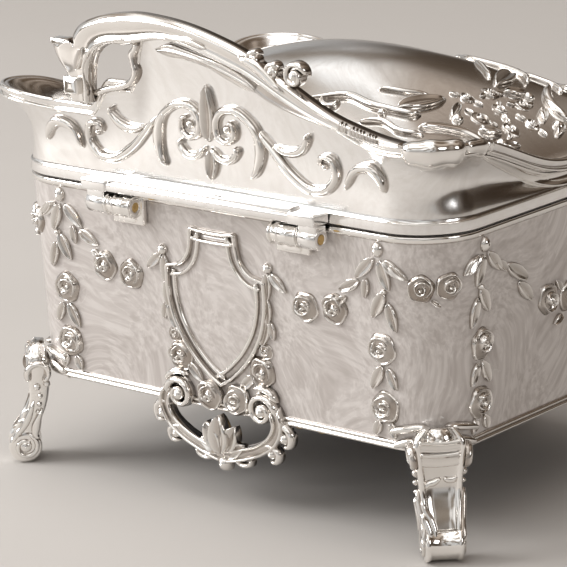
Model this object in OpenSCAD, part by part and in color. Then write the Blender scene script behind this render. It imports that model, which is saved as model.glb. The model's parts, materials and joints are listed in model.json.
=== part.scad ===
// Footed jewellery casket with a turning dancer: a tapered cast case on four scroll feet, a hinged
// domed lid with a pierced rocaille crest, and an eighteen note movement under the velvet deck.
// The box stands on z = 0. Its front looks along -Y and its hinges are at +Y.

/* [Case] */
// Width of the case at the seam
case_w = 140; // [130:1:160]
// Depth of the case at the seam
case_d = 110; // [104:1:130]
// Height of the case wall, from its bottom edge to the seam
case_h = 54; // [52:1:64]
// How far each wall leans in over its height
case_taper = 2.5; // [1.5:0.5:3.5]
// Radius of the upright corners at the seam
corner_r = 16; // [15:1:19]
// Thickness of the cast walls
wall = 2.2; // [1.8:0.1:2.6]
// How far the twin ridges along the bottom edge stand proud
ridge = 0.9; // [0.6:0.1:1.2]

/* [Feet] */
// Height of the case's bottom edge above the table
foot_h = 25; // [24:1:32]
// Width of a foot's strap at the shoulder
foot_w = 12.6; // [10:0.2:13.4]
// Width of the toe scroll
toe_w = 9.6; // [8:0.2:11]
// Radius of the toe scroll
toe_r = 4.5; // [3.6:0.1:5]
// How far the toe scroll's centre stands out from the case's corner
toe_reach = 8.4; // [7:0.2:11]
// Radius of the shoulder scrolls
shoulder_r = 3.3; // [2.6:0.1:3.5]

/* [Back and front ornament] */
// Half width of the shield
shield_hw = 16.4; // [14:0.2:18]
// Gap between the seam and the top of each shield
shield_drop = 6.6; // [5:0.2:8]
// Half width of the pierced apron, to the middle of its scrolls
apron_hw = 14.3; // [13:0.1:17]
// How far the apron hangs below the case's bottom edge
apron_drop = 11; // [9:0.5:12]
// Thickness of the pierced apron
apron_t = 3; // [2:0.1:3.6]

/* [Garlands] */
// Radius of the cast roses
rose_r = 4.2; // [3.6:0.1:4.6]
// How far the roses stand out of the wall
rose_out = 2.8; // [2:0.1:3.2]
// Distance of the hanging drops from the start of the round corners
drop_in = 2.2; // [1.8:0.1:3]

/* [Lid] */
// Height of the rim above the seam at the middle of a side
rim_h = 10; // [9:0.5:14]
// Extra height of the rim at the corners
cusp_h = 13; // [9:0.5:16]
// How far the rim flares out at a corner
cusp_flare = 7; // [4:0.5:8]
// Height of the back panel above the seam, at its highest
panel_h = 44; // [38:0.5:46]
// How deep the lid's wall is coved
cove = 1.6; // [0.8:0.1:2]
// Height of the dome above the seam
dome_h = 35; // [31:0.5:40]
// Width of the crest's band
crest_w = 5.4; // [4.4:0.1:6.4]
// Thickness of the crest
crest_t = 3.6; // [3:0.1:3.6]
// Gap between the lid and the case at the seam
seam_gap = 0.3; // [0.2:0.05:0.5]

/* [Hinge] */
// Diameter of the hinge pins
pin_d = 2.4; // [2:0.1:2.8]
// Radius of the knuckles
knuckle_r = 2.75; // [2.5:0.05:3]
// Length of the shelf that carries the lid's lugs
shelf_w = 75; // [68:1:84]
// Width of a knuckle on the case
knuckle_w = 9; // [7:0.5:12]
// Width of a lug on the lid
lug_w = 6; // [4:0.5:8]
// Running clearance of the pins, on the radius
pin_clear = 0.05; // [0.03:0.01:0.08]

/* [Inside] */
// Thickness of the base plate
base_t = 2; // [1.6:0.1:2.4]
// Height of the deck's supports above the base plate
deck_rise = 22.6; // [22:0.1:24]
// Thickness of the deck board
board_t = 1.6; // [1.2:0.1:2.4]
// Thickness of the velvet on the deck
velvet_t = 1.5; // [1:0.1:2]
// Thickness of the wall lining
lining_t = 1.5; // [1:0.1:2]
// Height of the mirror's face above the seam
mirror_rise = 15; // [14:0.5:16]
// Thickness of the mirror
mirror_t = 1.6; // [1.2:0.1:2]
// Width of the mirror
mirror_w = 92; // [80:1:96]
// Depth of the mirror
mirror_d = 62; // [54:1:66]

/* [Movement] */
// Distance of the dancer's spindle behind the middle of the case
spindle_y = 18; // [14:0.5:20]
// Tooth module of the crown wheel and its pinion
crown_m = 0.7; // [0.66:0.01:0.72]
// Teeth of the crown wheel
crown_teeth = 30; // [30:3:33]
// Teeth of the cylinder's pinion
pinion_teeth = 10; // [10:1:10]
// Tooth module of the cylinder's gear and the governor
train_m = 0.6; // [0.58:0.01:0.6]
// Teeth of the cylinder's gear
gear_teeth = 24; // [24:1:24]
// Teeth of the governor's pinion
small_teeth = 8; // [8:1:8]
// Teeth of the governor's worm wheel
worm_teeth = 20; // [20:1:20]
// Number of tuned teeth on the comb
notes = 18; // [12:1:18]
// Spacing of the tuned teeth
note_pitch = 1; // [0.9:0.02:1.04]
// Radius of the pinned cylinder
cyl_r = 5.6; // [5:0.1:5.8]
// How far the pins stand out of the cylinder
pin_out = 0.6; // [0.4:0.1:0.8]

/* [Dancer] */
// Height of the dancer, from her toes to her hands
dancer_h = 26; // [20:0.5:26]
// Radius of the tutu
tutu_r = 10.5; // [8:0.5:12]
// Radius of the turntable disc
disc_r = 6; // [5:0.5:8]
// Height of the coil spring under her
spring_h = 7; // [5:0.5:7]
// Thickness of the spring's wire
wire_d = 0.7; // [0.5:0.05:0.9]

/* [Hidden] */

seat = 0.02;        // hair gap between a relief and the wall behind it
fit = 0.3;          // ordinary assembly clearance
round_fn = 48;
arc_n = 8;          // facets in a quarter turn of the lofted walls
seam_z = foot_h + case_h;
lean = atan(case_taper / case_h);
base_z = foot_h;                      // underside of the base plate
base_top = base_z + base_t;
deck_z = base_top + deck_rise;        // underside of the deck board
deck_top = deck_z + board_t;
velvet_top = deck_top + velvet_t;

// ---- plan of the case: points [place, outward direction] round a rectangle with round corners ----
function corner_at(q, w, d, r) =
    [(q == 0 || q == 3 ? 1 : -1) * (w / 2 - r), (q < 2 ? 1 : -1) * (d / 2 - r)];
function unit2(a) = [cos(a), sin(a)];
function plan(w, d, r, counts) = [
    for (q = [0:3]) let (c = corner_at(q, w, d, r), e = corner_at((q + 1) % 4, w, d, r),
                         n = unit2(90 * (q + 1)), m = counts[q])
        each concat(
            [for (i = [0:arc_n]) let (u = unit2(90 * (q + i / arc_n))) [c + r * u, u]],
            m < 2 ? [] : [for (j = [1:m - 1]) [c + r * n + (e - c) * j / m, n]])
];
function ring(points, off, z) = [for (p = points) [each (p[0] + off * p[1]), z]];
function wall_off(z) = z >= seam_z ? 0 : -case_taper * (seam_z - z) / case_h;
case_plan = plan(case_w, case_d, corner_r, [1, 1, 1, 1]);

// Skin through rings of points. Open lofts are capped at both ends, closed ones join up.
module loft(rings, closed = false) {
    n = len(rings[0]);
    m = len(rings);
    sides = [for (i = [0:(closed ? m - 1 : m - 2)], j = [0:n - 1])
        let (k = (i + 1) % m, l = (j + 1) % n)
        each [[i * n + j, k * n + j, k * n + l], [i * n + j, k * n + l, i * n + l]]];
    caps = closed ? [] : [[for (j = [0:n - 1]) j], [for (j = [n - 1:-1:0]) (m - 1) * n + j]];
    polyhedron(points = [for (r = rings) each r], faces = concat(sides, caps), convexity = 6);
}
module moulding(profile) {
    loft([for (p = profile) ring(case_plan, p[0], p[1])], closed = true);
}
module rounded_rect(w, d, r) {
    square([w - 2 * r, d], center = true);
    square([w, d - 2 * r], center = true);
    for (q = [0:3]) translate(corner_at(q, w, d, r)) circle(r, $fn = round_fn);
}
// A plate that follows the case's plan, moved in by inset
module plate(inset, z, t) {
    translate([0, 0, z]) linear_extrude(t)
        rounded_rect(case_w - 2 * inset, case_d - 2 * inset, corner_r - inset);
}

// ---- curves in a plane ----
function mix(a, b, t) = a + (b - a) * t;
function bezier(a, b, c, d, n) = [for (i = [0:n]) let (t = i / n)
    a * pow(1 - t, 3) + b * 3 * t * pow(1 - t, 2) + c * 3 * t * t * (1 - t) + d * pow(t, 3)];
// Smooth curve through points that also hold a half width: Catmull and Rom's cubic
function blend4(p, q, r, s, t) =
    0.5 * (2 * q + (r - p) * t + (2 * p - 5 * q + 4 * r - s) * t * t
           + (3 * q - p - 3 * r + s) * pow(t, 3));
function through(pts, n) = let (m = len(pts)) [
    each [for (i = [0:m - 2], j = [0:n - 1])
        blend4(pts[max(i - 1, 0)], pts[i], pts[i + 1], pts[min(i + 2, m - 1)], j / n)],
    pts[m - 1]];
function side_of(pts, i) = let (a = pts[max(i - 1, 0)], b = pts[min(i + 1, len(pts) - 1)],
    d = [b[0] - a[0], b[1] - a[1]]) [-d[1], d[0]] / norm(d);
// Outline of a band that follows points [x, y, half width]
function band(pts) = concat(
    [for (i = [0:len(pts) - 1]) [pts[i][0], pts[i][1]] + pts[i][2] * side_of(pts, i)],
    [for (i = [len(pts) - 1:-1:0]) [pts[i][0], pts[i][1]] - pts[i][2] * side_of(pts, i)]);
module scroll(pts, n = 5) { polygon(band(through(pts, n))); }
module both_sides() { children(); mirror([1, 0, 0]) children(); }

// Places a piece on a wall: x to the viewer's right, y up from the bottom edge, z out of the wall
module on_wall(turn, depth) {
    rotate([0, 0, turn]) translate([0, -(depth / 2 - case_taper), foot_h]) rotate([90 + lean, 0, 0])
        children();
}
// Places a piece at a corner: x out from the case's bottom edge, y along it
module at_corner(q) {
    translate([each corner_at(q, case_w, case_d, corner_r), 0]) rotate([0, 0, 45 + 90 * q])
        translate([corner_r - case_taper, 0, 0]) children();
}

// Places a piece on a round corner: a is its angle from the corner's middle, the rest as on_wall
module on_corner(q, a) {
    translate([each corner_at(q, case_w, case_d, corner_r), foot_h]) rotate([0, 0, 45 + 90 * q + a])
        translate([corner_r - case_taper, 0, 0]) rotate([90 + lean, 0, 90]) children();
}

// ---- case ----
boss_in = 8.4;      // distance of a corner post from the corner's centre
boss_r = 4.3;
screw_r = 1.1;
lip = 0.6;          // how far the lip under the seam and the lid's flange stand proud
screw_up = 6;       // length of a screw inside its post
post_x = boss_in - (corner_r - case_taper);   // the post, seen from the corner

module case_shell() {
    bead = [[0.5, 0], [ridge, 0.45], [0.5, 0.9], [0.5, 1.2], [ridge, 1.65], [0.4, 2.1], [0, 2.5]];
    lip_line = [[0, 1.9], [lip, 1.3], [lip, 0.2], [lip / 2, 0]];
    outer = concat(
        [for (p = bead) [wall_off(foot_h + p[1]) + p[0], foot_h + p[1]]],
        [for (p = lip_line) [wall_off(seam_z - p[1]) + p[0], seam_z - p[1]]]);
    inner = [[-wall, seam_z], [wall_off(foot_h) - wall, foot_h]];
    color("gainsboro") {
        moulding(concat(outer, inner));
        for (q = [0:3]) at_corner(q) translate([post_x, 0, base_top]) difference() {
            cylinder(r = boss_r, h = deck_rise, $fn = 32);
            translate([0, 0, -1]) cylinder(r = screw_r + pin_clear, h = screw_up + 2, $fn = 32);
        }
    }
}

// ---- shield with its pierced apron ----
tip_rise = 6.4;                      // height of the shield's tip over the bottom edge
shield_top = case_h - shield_drop;
shield_h = shield_top - tip_rise;
neck_hw = 7.7;
shield_half = concat(
    bezier([neck_hw, 0], [neck_hw, -7], [neck_hw + 3, -9.5], [shield_hw, -10.4], 6),
    [for (p = bezier([shield_hw, -12], [shield_hw + 0.4, -24], [shield_hw * 0.55, -shield_h + 7],
                     [0.01, -shield_h], 10)) p]);
module shield_outline(inset) {
    pts = shield_half;
    half = [for (i = [0:len(pts) - 1]) pts[i] + inset * side_of(pts, i) * -1];
    both_sides() polygon(concat([[0, inset == 0 ? 0 : -inset]],
        [for (p = half) [max(p[0], 0), p[1]]], [[0, -shield_h + inset * 1.2]]));
}
module volute(r, w, turns = 1.15) {
    steps = 16;
    polygon(band([for (i = [0:steps]) let (a = -360 * turns * i / steps, s = mix(1, 0.3, i / steps))
        [r * s * cos(a), r * s * sin(a), w / 2 * mix(1, 0.7, i / steps)]]));
    circle(r * 0.34, $fn = 16);
}
module apron_half() {
    d = -apron_drop;
    scroll([[apron_hw + 4.2, 3, 1.3], [apron_hw + 3.8, -2.6, 1.4], [apron_hw - 0.6, d + 4.2, 1.5],
            [8, d + 1.6, 1.5], [-0.4, d, 1.6]]);
    translate([apron_hw, 2.3]) rotate(8) volute(3.9, 1.7);
    scroll([[apron_hw + 2.4, d + 5.4, 1], [apron_hw + 5.6, d + 6.6, 1.1], [apron_hw + 8, d + 8.4, 1.3],
            [apron_hw + 6.4, d + 10, 0.8]], 4);
    scroll([[apron_hw - 6, d + 1.6, 0.8], [apron_hw - 1, d + 0.6, 1], [apron_hw + 2.6, d + 1.2, 1.4],
            [apron_hw + 2, d + 3.2, 0.8]], 4);
    translate([apron_hw + 7, d + 8.2]) circle(1.9, $fn = 20);
    translate([apron_hw + 2.4, d + 1.8]) circle(1.8, $fn = 20);
    translate([4.8, 3]) circle(3.7, $fn = 24);
    scroll([[4, 1.4, 1.2], [9, 2.6, 1.1], [apron_hw - 3, 3, 1.1]], 3);
}
// Rose: outer petals, an inner cup set to one side, and the heart
module rose(r, h) {
    cylinder(r1 = r, r2 = r * 0.84, h = h * 0.5, $fn = 24);
    translate([r * 0.08, r * 0.06, 0]) cylinder(r1 = r * 0.7, r2 = r * 0.58, h = h * 0.8, $fn = 24);
    cylinder(r1 = r * 0.34, r2 = r * 0.22, h = h, $fn = 16);
}
apron_root = [6.6, 7.4]; // corner of the apron's root on the wall
leaf_t = 1.1;       // thickness of the cast leaves
bead_r = 1.7;
// Leaf from its stalk at a to its tip at b
module leaf(a, b, w) {
    shares = [0.14, 0.8, 1, 0.72, 0.12];
    linear_extrude(leaf_t)
        polygon(band([for (i = [0:4]) concat(a + (b - a) * i / 4, w / 2 * shares[i])]));
}
module bead(x, y, r = bead_r) {
    translate([x, y, 0]) cylinder(r1 = r, r2 = r * 0.5, h = bead_r, $fn = 20);
}
fall = case_h / 54; // the stations of a drop move apart with the height of the case
// Stations of the ornament are given from the seam down
function at(x, down) = [x, case_h - down * fall];
module rose_at(x, down, share = 1) {
    translate(at(x, down)) rose(rose_r * share, rose_out * share);
}
module leaf_at(x0, down0, x1, down1, w) { leaf(at(x0, down0), at(x1, down1), w); }
// Drop that hangs down a shield's side
module shield_drop_side() {
    x = shield_hw;
    bead(x + 0.8, at(0, 13.9)[1]);
    leaf_at(x + 1.4, 14.7, x + 6.2, 19, 2.6);
    leaf_at(x + 0.4, 15, x + 0.2, 22.2, 2.6);
    leaf_at(x, 21.6, x, 28.6, 2.6);
    leaf_at(x - 0.2, 28, x - 2.4, 34.4, 2.8);
    // its bud, rose and last leaf, which ends on the apron's root
    bud = at(x - 1.4, 35.8);
    flower = bud + [-1.6, -5.6];
    bead(bud[0], bud[1], 2.1);
    translate(flower) rose(rose_r * 0.95, rose_out * 0.95);
    leaf(flower + [-2.6, -1.2], apron_root - [0.4, 0.8], 2.8);
}
module cartouche(turn) {
    apron_w = ridge + 0.1;
    color("silver") on_wall(turn, case_d) {
        translate([0, 0, seat]) both_sides() shield_drop_side();
        translate([0, shield_top, seat]) {
            linear_extrude(0.5) shield_outline(0);
            linear_extrude(1.5) difference() { shield_outline(0); shield_outline(1.5); }
            linear_extrude(2.1) difference() { shield_outline(0.4); shield_outline(1); }
        }
        translate([0, 0, apron_w]) {
            linear_extrude(apron_t) {
                both_sides() apron_half();
                translate([0, -apron_drop - 2.2]) circle(3.1, $fn = 24);
                scroll([[0, 2, 1], [0, -2, 3.4], [0, -6, 3.9], [0, -apron_drop, 1.2]], 4);
            }
            both_sides() translate([4.8, 3, apron_t]) rose(3.7, 1.6);
            translate([0, -4, apron_t]) cylinder(r1 = 3.2, r2 = 1.4, h = 1.3, $fn = 24);
        }
        // root of the apron on the wall, above the ridges
        translate([0, 0, seat]) linear_extrude(apron_w) both_sides()
            polygon([[0, 3], [8, 3], apron_root, [2, 8.6], [0, 8.6]]);
        translate([0, 0, apron_w - 0.2]) linear_extrude(apron_t - 0.6) both_sides()
            polygon([[0, 2], [7.6, 3], [6, 6.6], [2, 8], [0, 8]]);
    }
}
module back_cartouche() { cartouche(180); }
module front_cartouche() { cartouche(0); }

// ---- garlands ----
// Hanging drop: a bead, leaves, two roses and two end leaves. Its outer side is towards +x.
module drop() {
    bead(0, at(0, 4)[1]);
    leaf_at(-1.3, 6.4, -7, 12, 3.2);
    leaf_at(1.8, 6.4, 6.4, 10.4, 2.8);
    leaf_at(0.4, 6.6, 2.8, 14, 3.2);
    leaf_at(1.4, 14.6, -2.4, 21.4, 3.4);
    leaf_at(2.4, 17, 4.6, 24, 2.8);
    rose_at(0, 29);
    leaf_at(-0.2, 33.6, -3.4, 39.4, 3);
    leaf_at(1.6, 33.8, 3.8, 39, 2.6);
    rose_at(0.2, 43.8);
    leaf_at(-1.8, 47.6, -3, 51, 2.4);
    leaf_at(1.8, 47.6, 2.8, 51, 2.4);
}
drop_x = case_w / 2 - corner_r - drop_in;
drop_y = case_d / 2 - corner_r - drop_in;
rose_gap = 9;       // spacing of neighbouring roses in a swag
module long_garlands(turn) {
    color("silver") on_wall(turn, case_d) translate([0, 0, seat]) both_sides() {
        translate([drop_x, 0, 0]) drop();
        swag_x = (drop_x + shield_hw + 0.8) / 2 - 1.4;
        for (s = [-1, 1]) rose_at(swag_x + s * rose_gap / 2, 21.5 - s * 0.5, 0.96);
        leaf_at(drop_x - 6, 12.6, drop_x - 12.4, 16, 3);
        leaf_at(drop_x - 3.8, 11.8, drop_x - 4.4, 16.6, 2);
    }
}
module back_garlands() { long_garlands(180); }
module front_garlands() { long_garlands(0); }
module side_garlands() {
    color("silver") for (turn = [90, 270]) on_wall(turn, case_w) translate([0, 0, seat]) {
        both_sides() {
            translate([drop_y, 0, 0]) drop();
            leaf_at(drop_y - 9.5, 11.4, drop_y - 18.4, 16.8, 3.6);
            leaf_at(drop_y - 14.6, 17, drop_y - 20.6, 22.6, 3.4);
            rose_at(rose_gap, 24.2, 0.96);
        }
        rose_at(0, 25.4);
    }
}
module corner_garlands() {
    step = asin(rose_gap * 0.39 / corner_r);
    color("silver") for (q = [0:3], s = [-1, 1]) on_corner(q, s * step) translate([0, 0, seat])
        rose_at(0, 12.7, 0.84);
}

// ---- feet ----
tab_t = 1.6;
head_h = 1.5;
foot_gap = ridge + 0.35;
// Stations of the strap: [outward place, height, thickness, width], from the toe to the shoulder
foot_line = through([
    [toe_reach + 0.2, toe_r + 1.2, 4.6, toe_w - 0.8],
    [toe_reach - 1, 0.37 * foot_h, 4.4, toe_w - 0.4],
    [foot_gap + 4.6, 0.51 * foot_h, 4.2, toe_w + 0.4],
    [foot_gap + 3.2, 0.66 * foot_h, 4.4, toe_w + 1],
    [foot_gap + 2.6, 0.83 * foot_h, 4.8, foot_w - 1.4],
    [foot_gap + 2.7, foot_h, 5, foot_w - 0.2],
    [foot_gap + 2.6, foot_h + 4, 4.6, foot_w],
    [foot_gap + 2.2, foot_h + 7.2, 2.6, foot_w * 0.6]], 2);
function rounded(c) = sign(c) * pow(abs(c), 0.6);
function foot_ring(i) = let (p = foot_line[i], s = side_of(foot_line, i), n = -s)
    [for (a = [0:30:330]) [p[0] + n[0] * p[2] / 2 * rounded(cos(a)), p[3] / 2 * rounded(sin(a)),
                           p[1] + n[1] * p[2] / 2 * rounded(cos(a))]];
module foot() {
    color("silver") difference() {
        union() {
            loft([for (i = [0:len(foot_line) - 1]) foot_ring(i)]);
            translate([toe_reach, 0, toe_r - 0.5]) rotate([90, 0, 0])
                cylinder(r = toe_r, h = toe_w, center = true, $fn = round_fn);
            for (s = [-1, 1]) translate([foot_gap + shoulder_r - 0.6, s * (foot_w / 2 - 0.6), foot_h - 0.4])
                rotate([90, 0, 0]) {
                    cylinder(r = shoulder_r, h = 2.2, center = true, $fn = 32);
                    translate([0, 0, -s * 1.1])
                        cylinder(r1 = 1.5, r2 = 1.5, h = 0.9, center = true, $fn = 24);
                }
            translate([post_x, 0, foot_h - tab_t]) cylinder(r = 4, h = tab_t, $fn = 32);
            translate([post_x, -4, foot_h - tab_t]) cube([-post_x + 3, 8, tab_t]);
        }
        translate([post_x, 0, foot_h - tab_t - 1])
            cylinder(r = screw_r + pin_clear, h = tab_t + 2, $fn = 32);
        translate([0, 0, -5]) cube([60, 60, 10], center = true);
        // room for the case's corner above the tab
        translate([-(corner_r - case_taper), 0, foot_h])
            cylinder(r = corner_r - case_taper + foot_gap, h = 12, $fn = 64);
    }
}
module foot_back_left() { at_corner(0) foot(); }
module foot_back_right() { at_corner(1) foot(); }
module foot_front_right() { at_corner(2) foot(); }
module foot_front_left() { at_corner(3) foot(); }
module foot_screws() {
    color("silver") for (q = [0:3]) at_corner(q) translate([post_x, 0, foot_h - tab_t]) {
        translate([0, 0, -head_h]) cylinder(r1 = 1.6, r2 = 2.1, h = head_h, $fn = 32);
        cylinder(r = screw_r, h = tab_t + base_t + screw_up, $fn = 32);
    }
}
module base_plate() {
    color("dimgray") difference() {
        plate(case_taper + wall + fit, base_z, base_t);
        for (q = [0:3]) at_corner(q) translate([post_x, 0, base_z - 1])
            cylinder(r = screw_r + pin_clear, h = base_t + 2, $fn = 32);
        translate([0, spindle_y, base_z - 1]) cylinder(r = arbor_r + fit, h = base_t + 2, $fn = 32);
        for (p = bed_screws) translate([p[0], p[1], base_z - 1])
            cylinder(r = bed_screw_r + pin_clear, h = base_t + 2, $fn = 24);
    }
}

// ---- hinge ----
hinge_y = case_d / 2 + lip + knuckle_r - 0.05;
hinge_z = seam_z - knuckle_r - 0.15;
lug_x = shelf_w / 2 - lug_w / 2;
knuckle_x = shelf_w / 2 - lug_w - fit - knuckle_w / 2;
shelf_z = seam_z + 0.9;
shelf_t = 2.1;
pin_r = pin_d / 2;
module along_x(x, w) { translate([x - w / 2, 0, 0]) rotate([90, 0, 90]) linear_extrude(w) children(); }
module hinge_knuckles() {
    back = case_d / 2 + lip + 0.05;
    color("silver") for (s = [-1, 1]) difference() {
        union() {
            along_x(s * knuckle_x, knuckle_w) {
                translate([hinge_y, hinge_z]) circle(knuckle_r, $fn = round_fn);
                translate([back, hinge_z - knuckle_r]) square([hinge_y - back, 2 * knuckle_r - 0.2]);
            }
            along_x(s * knuckle_x, knuckle_w) polygon([
                [case_d / 2 - case_taper * 8 / case_h + 0.1, seam_z - 8], [back, hinge_z - knuckle_r],
                [back, seam_z - 2.3], [case_d / 2 + 0.05, seam_z - 2.3]]);
        }
        along_x(s * knuckle_x, knuckle_w + 2) translate([hinge_y, hinge_z])
            circle(pin_r + pin_clear, $fn = round_fn);
    }
}
module hinge_pins() {
    pin_l = lug_w + knuckle_w + fit - 0.6;
    color("goldenrod") for (s = [-1, 1])
        along_x(s * (shelf_w / 2 - pin_l / 2 - 0.2), pin_l)
            translate([hinge_y, hinge_z]) circle(pin_r, $fn = round_fn);
}
module hinge_shelf() {
    front = hinge_y + knuckle_r + 0.5;
    color("silver") {
        along_x(0, shelf_w) polygon([
            [case_d / 2 + 0.75, shelf_z], [front - 0.6, shelf_z], [front, shelf_z + 0.6],
            [front - 0.3, shelf_z + shelf_t - 0.3], [front - 1, shelf_z + shelf_t],
            [case_d / 2 + 0.75, shelf_z + shelf_t + 0.9]]);
        for (s = [-1, 1]) difference() {
            along_x(s * lug_x, lug_w) {
                translate([hinge_y, hinge_z]) circle(knuckle_r, $fn = round_fn);
                translate([hinge_y - knuckle_r + 0.7, hinge_z])
                    square([2 * knuckle_r - 0.7, shelf_z - hinge_z + 0.5]);
            }
            along_x(s * lug_x, lug_w + 2) translate([hinge_y, hinge_z]) circle(pin_r, $fn = round_fn);
        }
    }
}

// ---- lid ----
function smooth(a, b, x) = let (t = min(max((x - a) / (b - a), 0), 1)) t * t * (3 - 2 * t);
function bell(x, w) = exp(-x * x / (w * w));
crest_x = case_w / 140;               // the back ornament widens with the case
corner_h = rim_h + cusp_h;            // height of the rim at a corner, above the seam
diagonal = corner_r * (1 - sqrt(0.5)); // inset of a corner's outermost point
// How far a plan point is from its corner's diagonal
function run(p) = max(case_w / 2 - abs(p[0][0]), case_d / 2 - abs(p[0][1])) - diagonal;
function half_side(p) = (abs(p[1][1]) > abs(p[1][0]) ? case_w : case_d) / 2 - diagonal;
function at_back(p) = p[1][1] > 0.71;
// Height of the back panel over the corners' level, seen from behind with x to the viewer's right
function panel(x) = (panel_h - corner_h + 2) * (0.32 * smooth(-38, -31, x) + 0.68 * smooth(-24, -18, x))
    * (1 - smooth(-8, 64, x));
function rim_rise(p) = at_back(p)
    ? corner_h - 2 * smooth(0, corner_r, run(p)) + panel(-p[0][0] / crest_x)
    : rim_h + cusp_h * (0.5 + 0.5 * cos(180 * run(p) / half_side(p)));
flare = 1.2;                          // flare of the rim along the sides
flare_slope = 0.02;                   // and its growth with the rim's height
function rim_off(p) = flare + flare_slope * (rim_rise(p) - rim_h)
    + (cusp_flare - flare) * bell(run(p), 9.5);
lid_plan = plan(case_w, case_d, corner_r, [32, 8, 12, 8]);
flange_h = 2.4;
lid_steps = 6;
// The wall is coved low down and flares near its rim
function cove_off(p, t) = rim_off(p) * pow(t, 3) - cove * sin(180 * pow(t, 0.7));
function cove_ring(t) = [for (p = lid_plan)
    [each (p[0] + cove_off(p, t) * p[1]), seam_z + mix(flange_h + 0.6, rim_rise(p) - 1.2, t)]];
function rim_ring(in, up) = [for (p = lid_plan)
    [each (p[0] + (rim_off(p) - in) * p[1]), seam_z + rim_rise(p) + up]];
valley = rim_h - 1.2;
dome_in = 3.4;      // inset of the dome's foot from the case's outline
// Rings of the dome: rectangles with round corners at its foot turn into ellipses at its top
function dome_z(s) = seam_z + mix(valley, dome_h, 1 - pow(s, 2.2));
function dome_point(p, s) = let (a = atan2(p[0][1] / case_d, p[0][0] / case_w))
    s * mix([case_w * cos(a), case_d * sin(a)] / 2, p[0], pow(s, 1.5)) - dome_in * s * p[1];
function dome_ring(s, drop) = [for (p = lid_plan) [each dome_point(p, s), dome_z(s) - drop]];
dome_steps = [0.1, 0.28, 0.46, 0.64, 0.8, 0.92];
module lid_casting() {
    bottom = seam_z + seam_gap;
    deep = cove + wall + 0.6;
    n = len(dome_steps);
    inner = concat(
        [for (i = [0:n - 2]) dome_ring(dome_steps[i], wall)],
        [ring(lid_plan, -deep, dome_z(0.92) - wall), ring(lid_plan, -deep, bottom)]);
    outer = concat(
        [ring(lid_plan, lip - 0.2, bottom), ring(lid_plan, lip, bottom + 0.4),
         ring(lid_plan, lip, seam_z + flange_h)],
        [for (i = [0:lid_steps]) cove_ring(i / lid_steps)],
        [rim_ring(-0.5, -0.4), rim_ring(0.2, 0.4), rim_ring(1.8, 0.4), rim_ring(3, -0.8),
         ring(lid_plan, -dome_in, seam_z + valley)],
        [for (i = [n - 1:-1:0]) dome_ring(dome_steps[i], 0)]);
    color("silver") loft(concat(inner, outer));
}
// Pierced scroll on the back rim, seen from behind with x to the viewer's right, y up from the seam
module lid_crest() {
    rise = panel_h + 1.6;
    half = crest_w / 2;
    color("silver") translate([0, case_d / 2 + flare - flare_slope * rim_h + 0.55, seam_z])
        rotate([90 + atan(flare_slope), 0, 180]) scale([crest_x, 1, 1]) linear_extrude(crest_t) {
            scroll([[-35, corner_h + 1, 1.4], [-39.5, corner_h + 5.6, 2.2], [-43, rise - 10.6, 1.6],
                    [-40.5, rise - 5.8, 2.1], [-33, rise - 1.7, half], [-18, rise, half],
                    [-2, rise - 1.2, half], [14, rise - 5.5, half], [26, rise - 10.4, half * 0.85],
                    [38, rise - 16, half * 0.67], [47, rise - 20, half * 0.5]], 5);
            translate([-44.6, rise - 9.4]) circle(2.3, $fn = 24);
            scroll([[-20.2, rise - 4.6, 1.6], [-21, rise - 11.4, 1.8], [-24, rise - 15.4, 1.5],
                    [-30, rise - 17.6, 1.6], [-36, corner_h + 1.6, 1.8]], 4);
        }
}
// Raised lines cast on the lid. A line's points are [x, y, half width]; it is laid on the back
// panel (x to the viewer's right, y up from the seam) or on the dome (x and y as in plan).
line_out = 1.6;     // how far the lines stand out
line_seat = 0.18;   // gap between a line's feet and the smooth surface
function plan_at(x) = [[x, case_d / 2], [0, 1]];
panel_k = [case_w / 140, corner_h / 23]; // the pattern widens and rises with the panel
dome_k = [case_w / 140, case_d / 110];   // and the dome's with the dome
function on_panel(x, y, out) = let (p = plan_at(-x), low = flange_h + 0.6,
        t = (y - low) / (rim_rise(p) - 1.2 - low))
    [-x, case_d / 2 + cove_off(p, t) + out, seam_z + y];
// How far the dome reaches in a direction, at share s of its foot
function outline_reach(a, w, d, r) = let (c = abs(cos(a)), s = abs(sin(a)), u = w / 2 - r, v = d / 2 - r,
        flat = min(w / 2 / max(c, 0.001), d / 2 / max(s, 0.001)), k = c * u + s * v)
    c * flat > u && s * flat > v ? k + sqrt(max(k * k - u * u - v * v + r * r, 0)) : flat;
function dome_reach(a, s) = let (w = case_w - 2 * dome_in, d = case_d - 2 * dome_in)
    s * mix(1 / norm([2 * cos(a) / w, 2 * sin(a) / d]),
            outline_reach(a, w, d, corner_r - dome_in), pow(s, 1.5));
// Share at which the dome passes over a plan point, by halving the interval
function dome_share(a, far, lo = 0, hi = 1.1, steps = 14) = let (m = (lo + hi) / 2)
    steps == 0 ? m : dome_reach(a, m) < far ? dome_share(a, far, m, hi, steps - 1)
                                            : dome_share(a, far, lo, m, steps - 1);
function dome_up(x, y) = dome_z(dome_share(atan2(y, x), norm([x, y])));
function on_dome(x, y, out) = let (e = 0.5, z = dome_up(x, y),
        n = [dome_up(x - e, y) - dome_up(x + e, y), dome_up(x, y - e) - dome_up(x, y + e), 2 * e])
    [x, y, z] + n / norm(n) * out;
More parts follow.
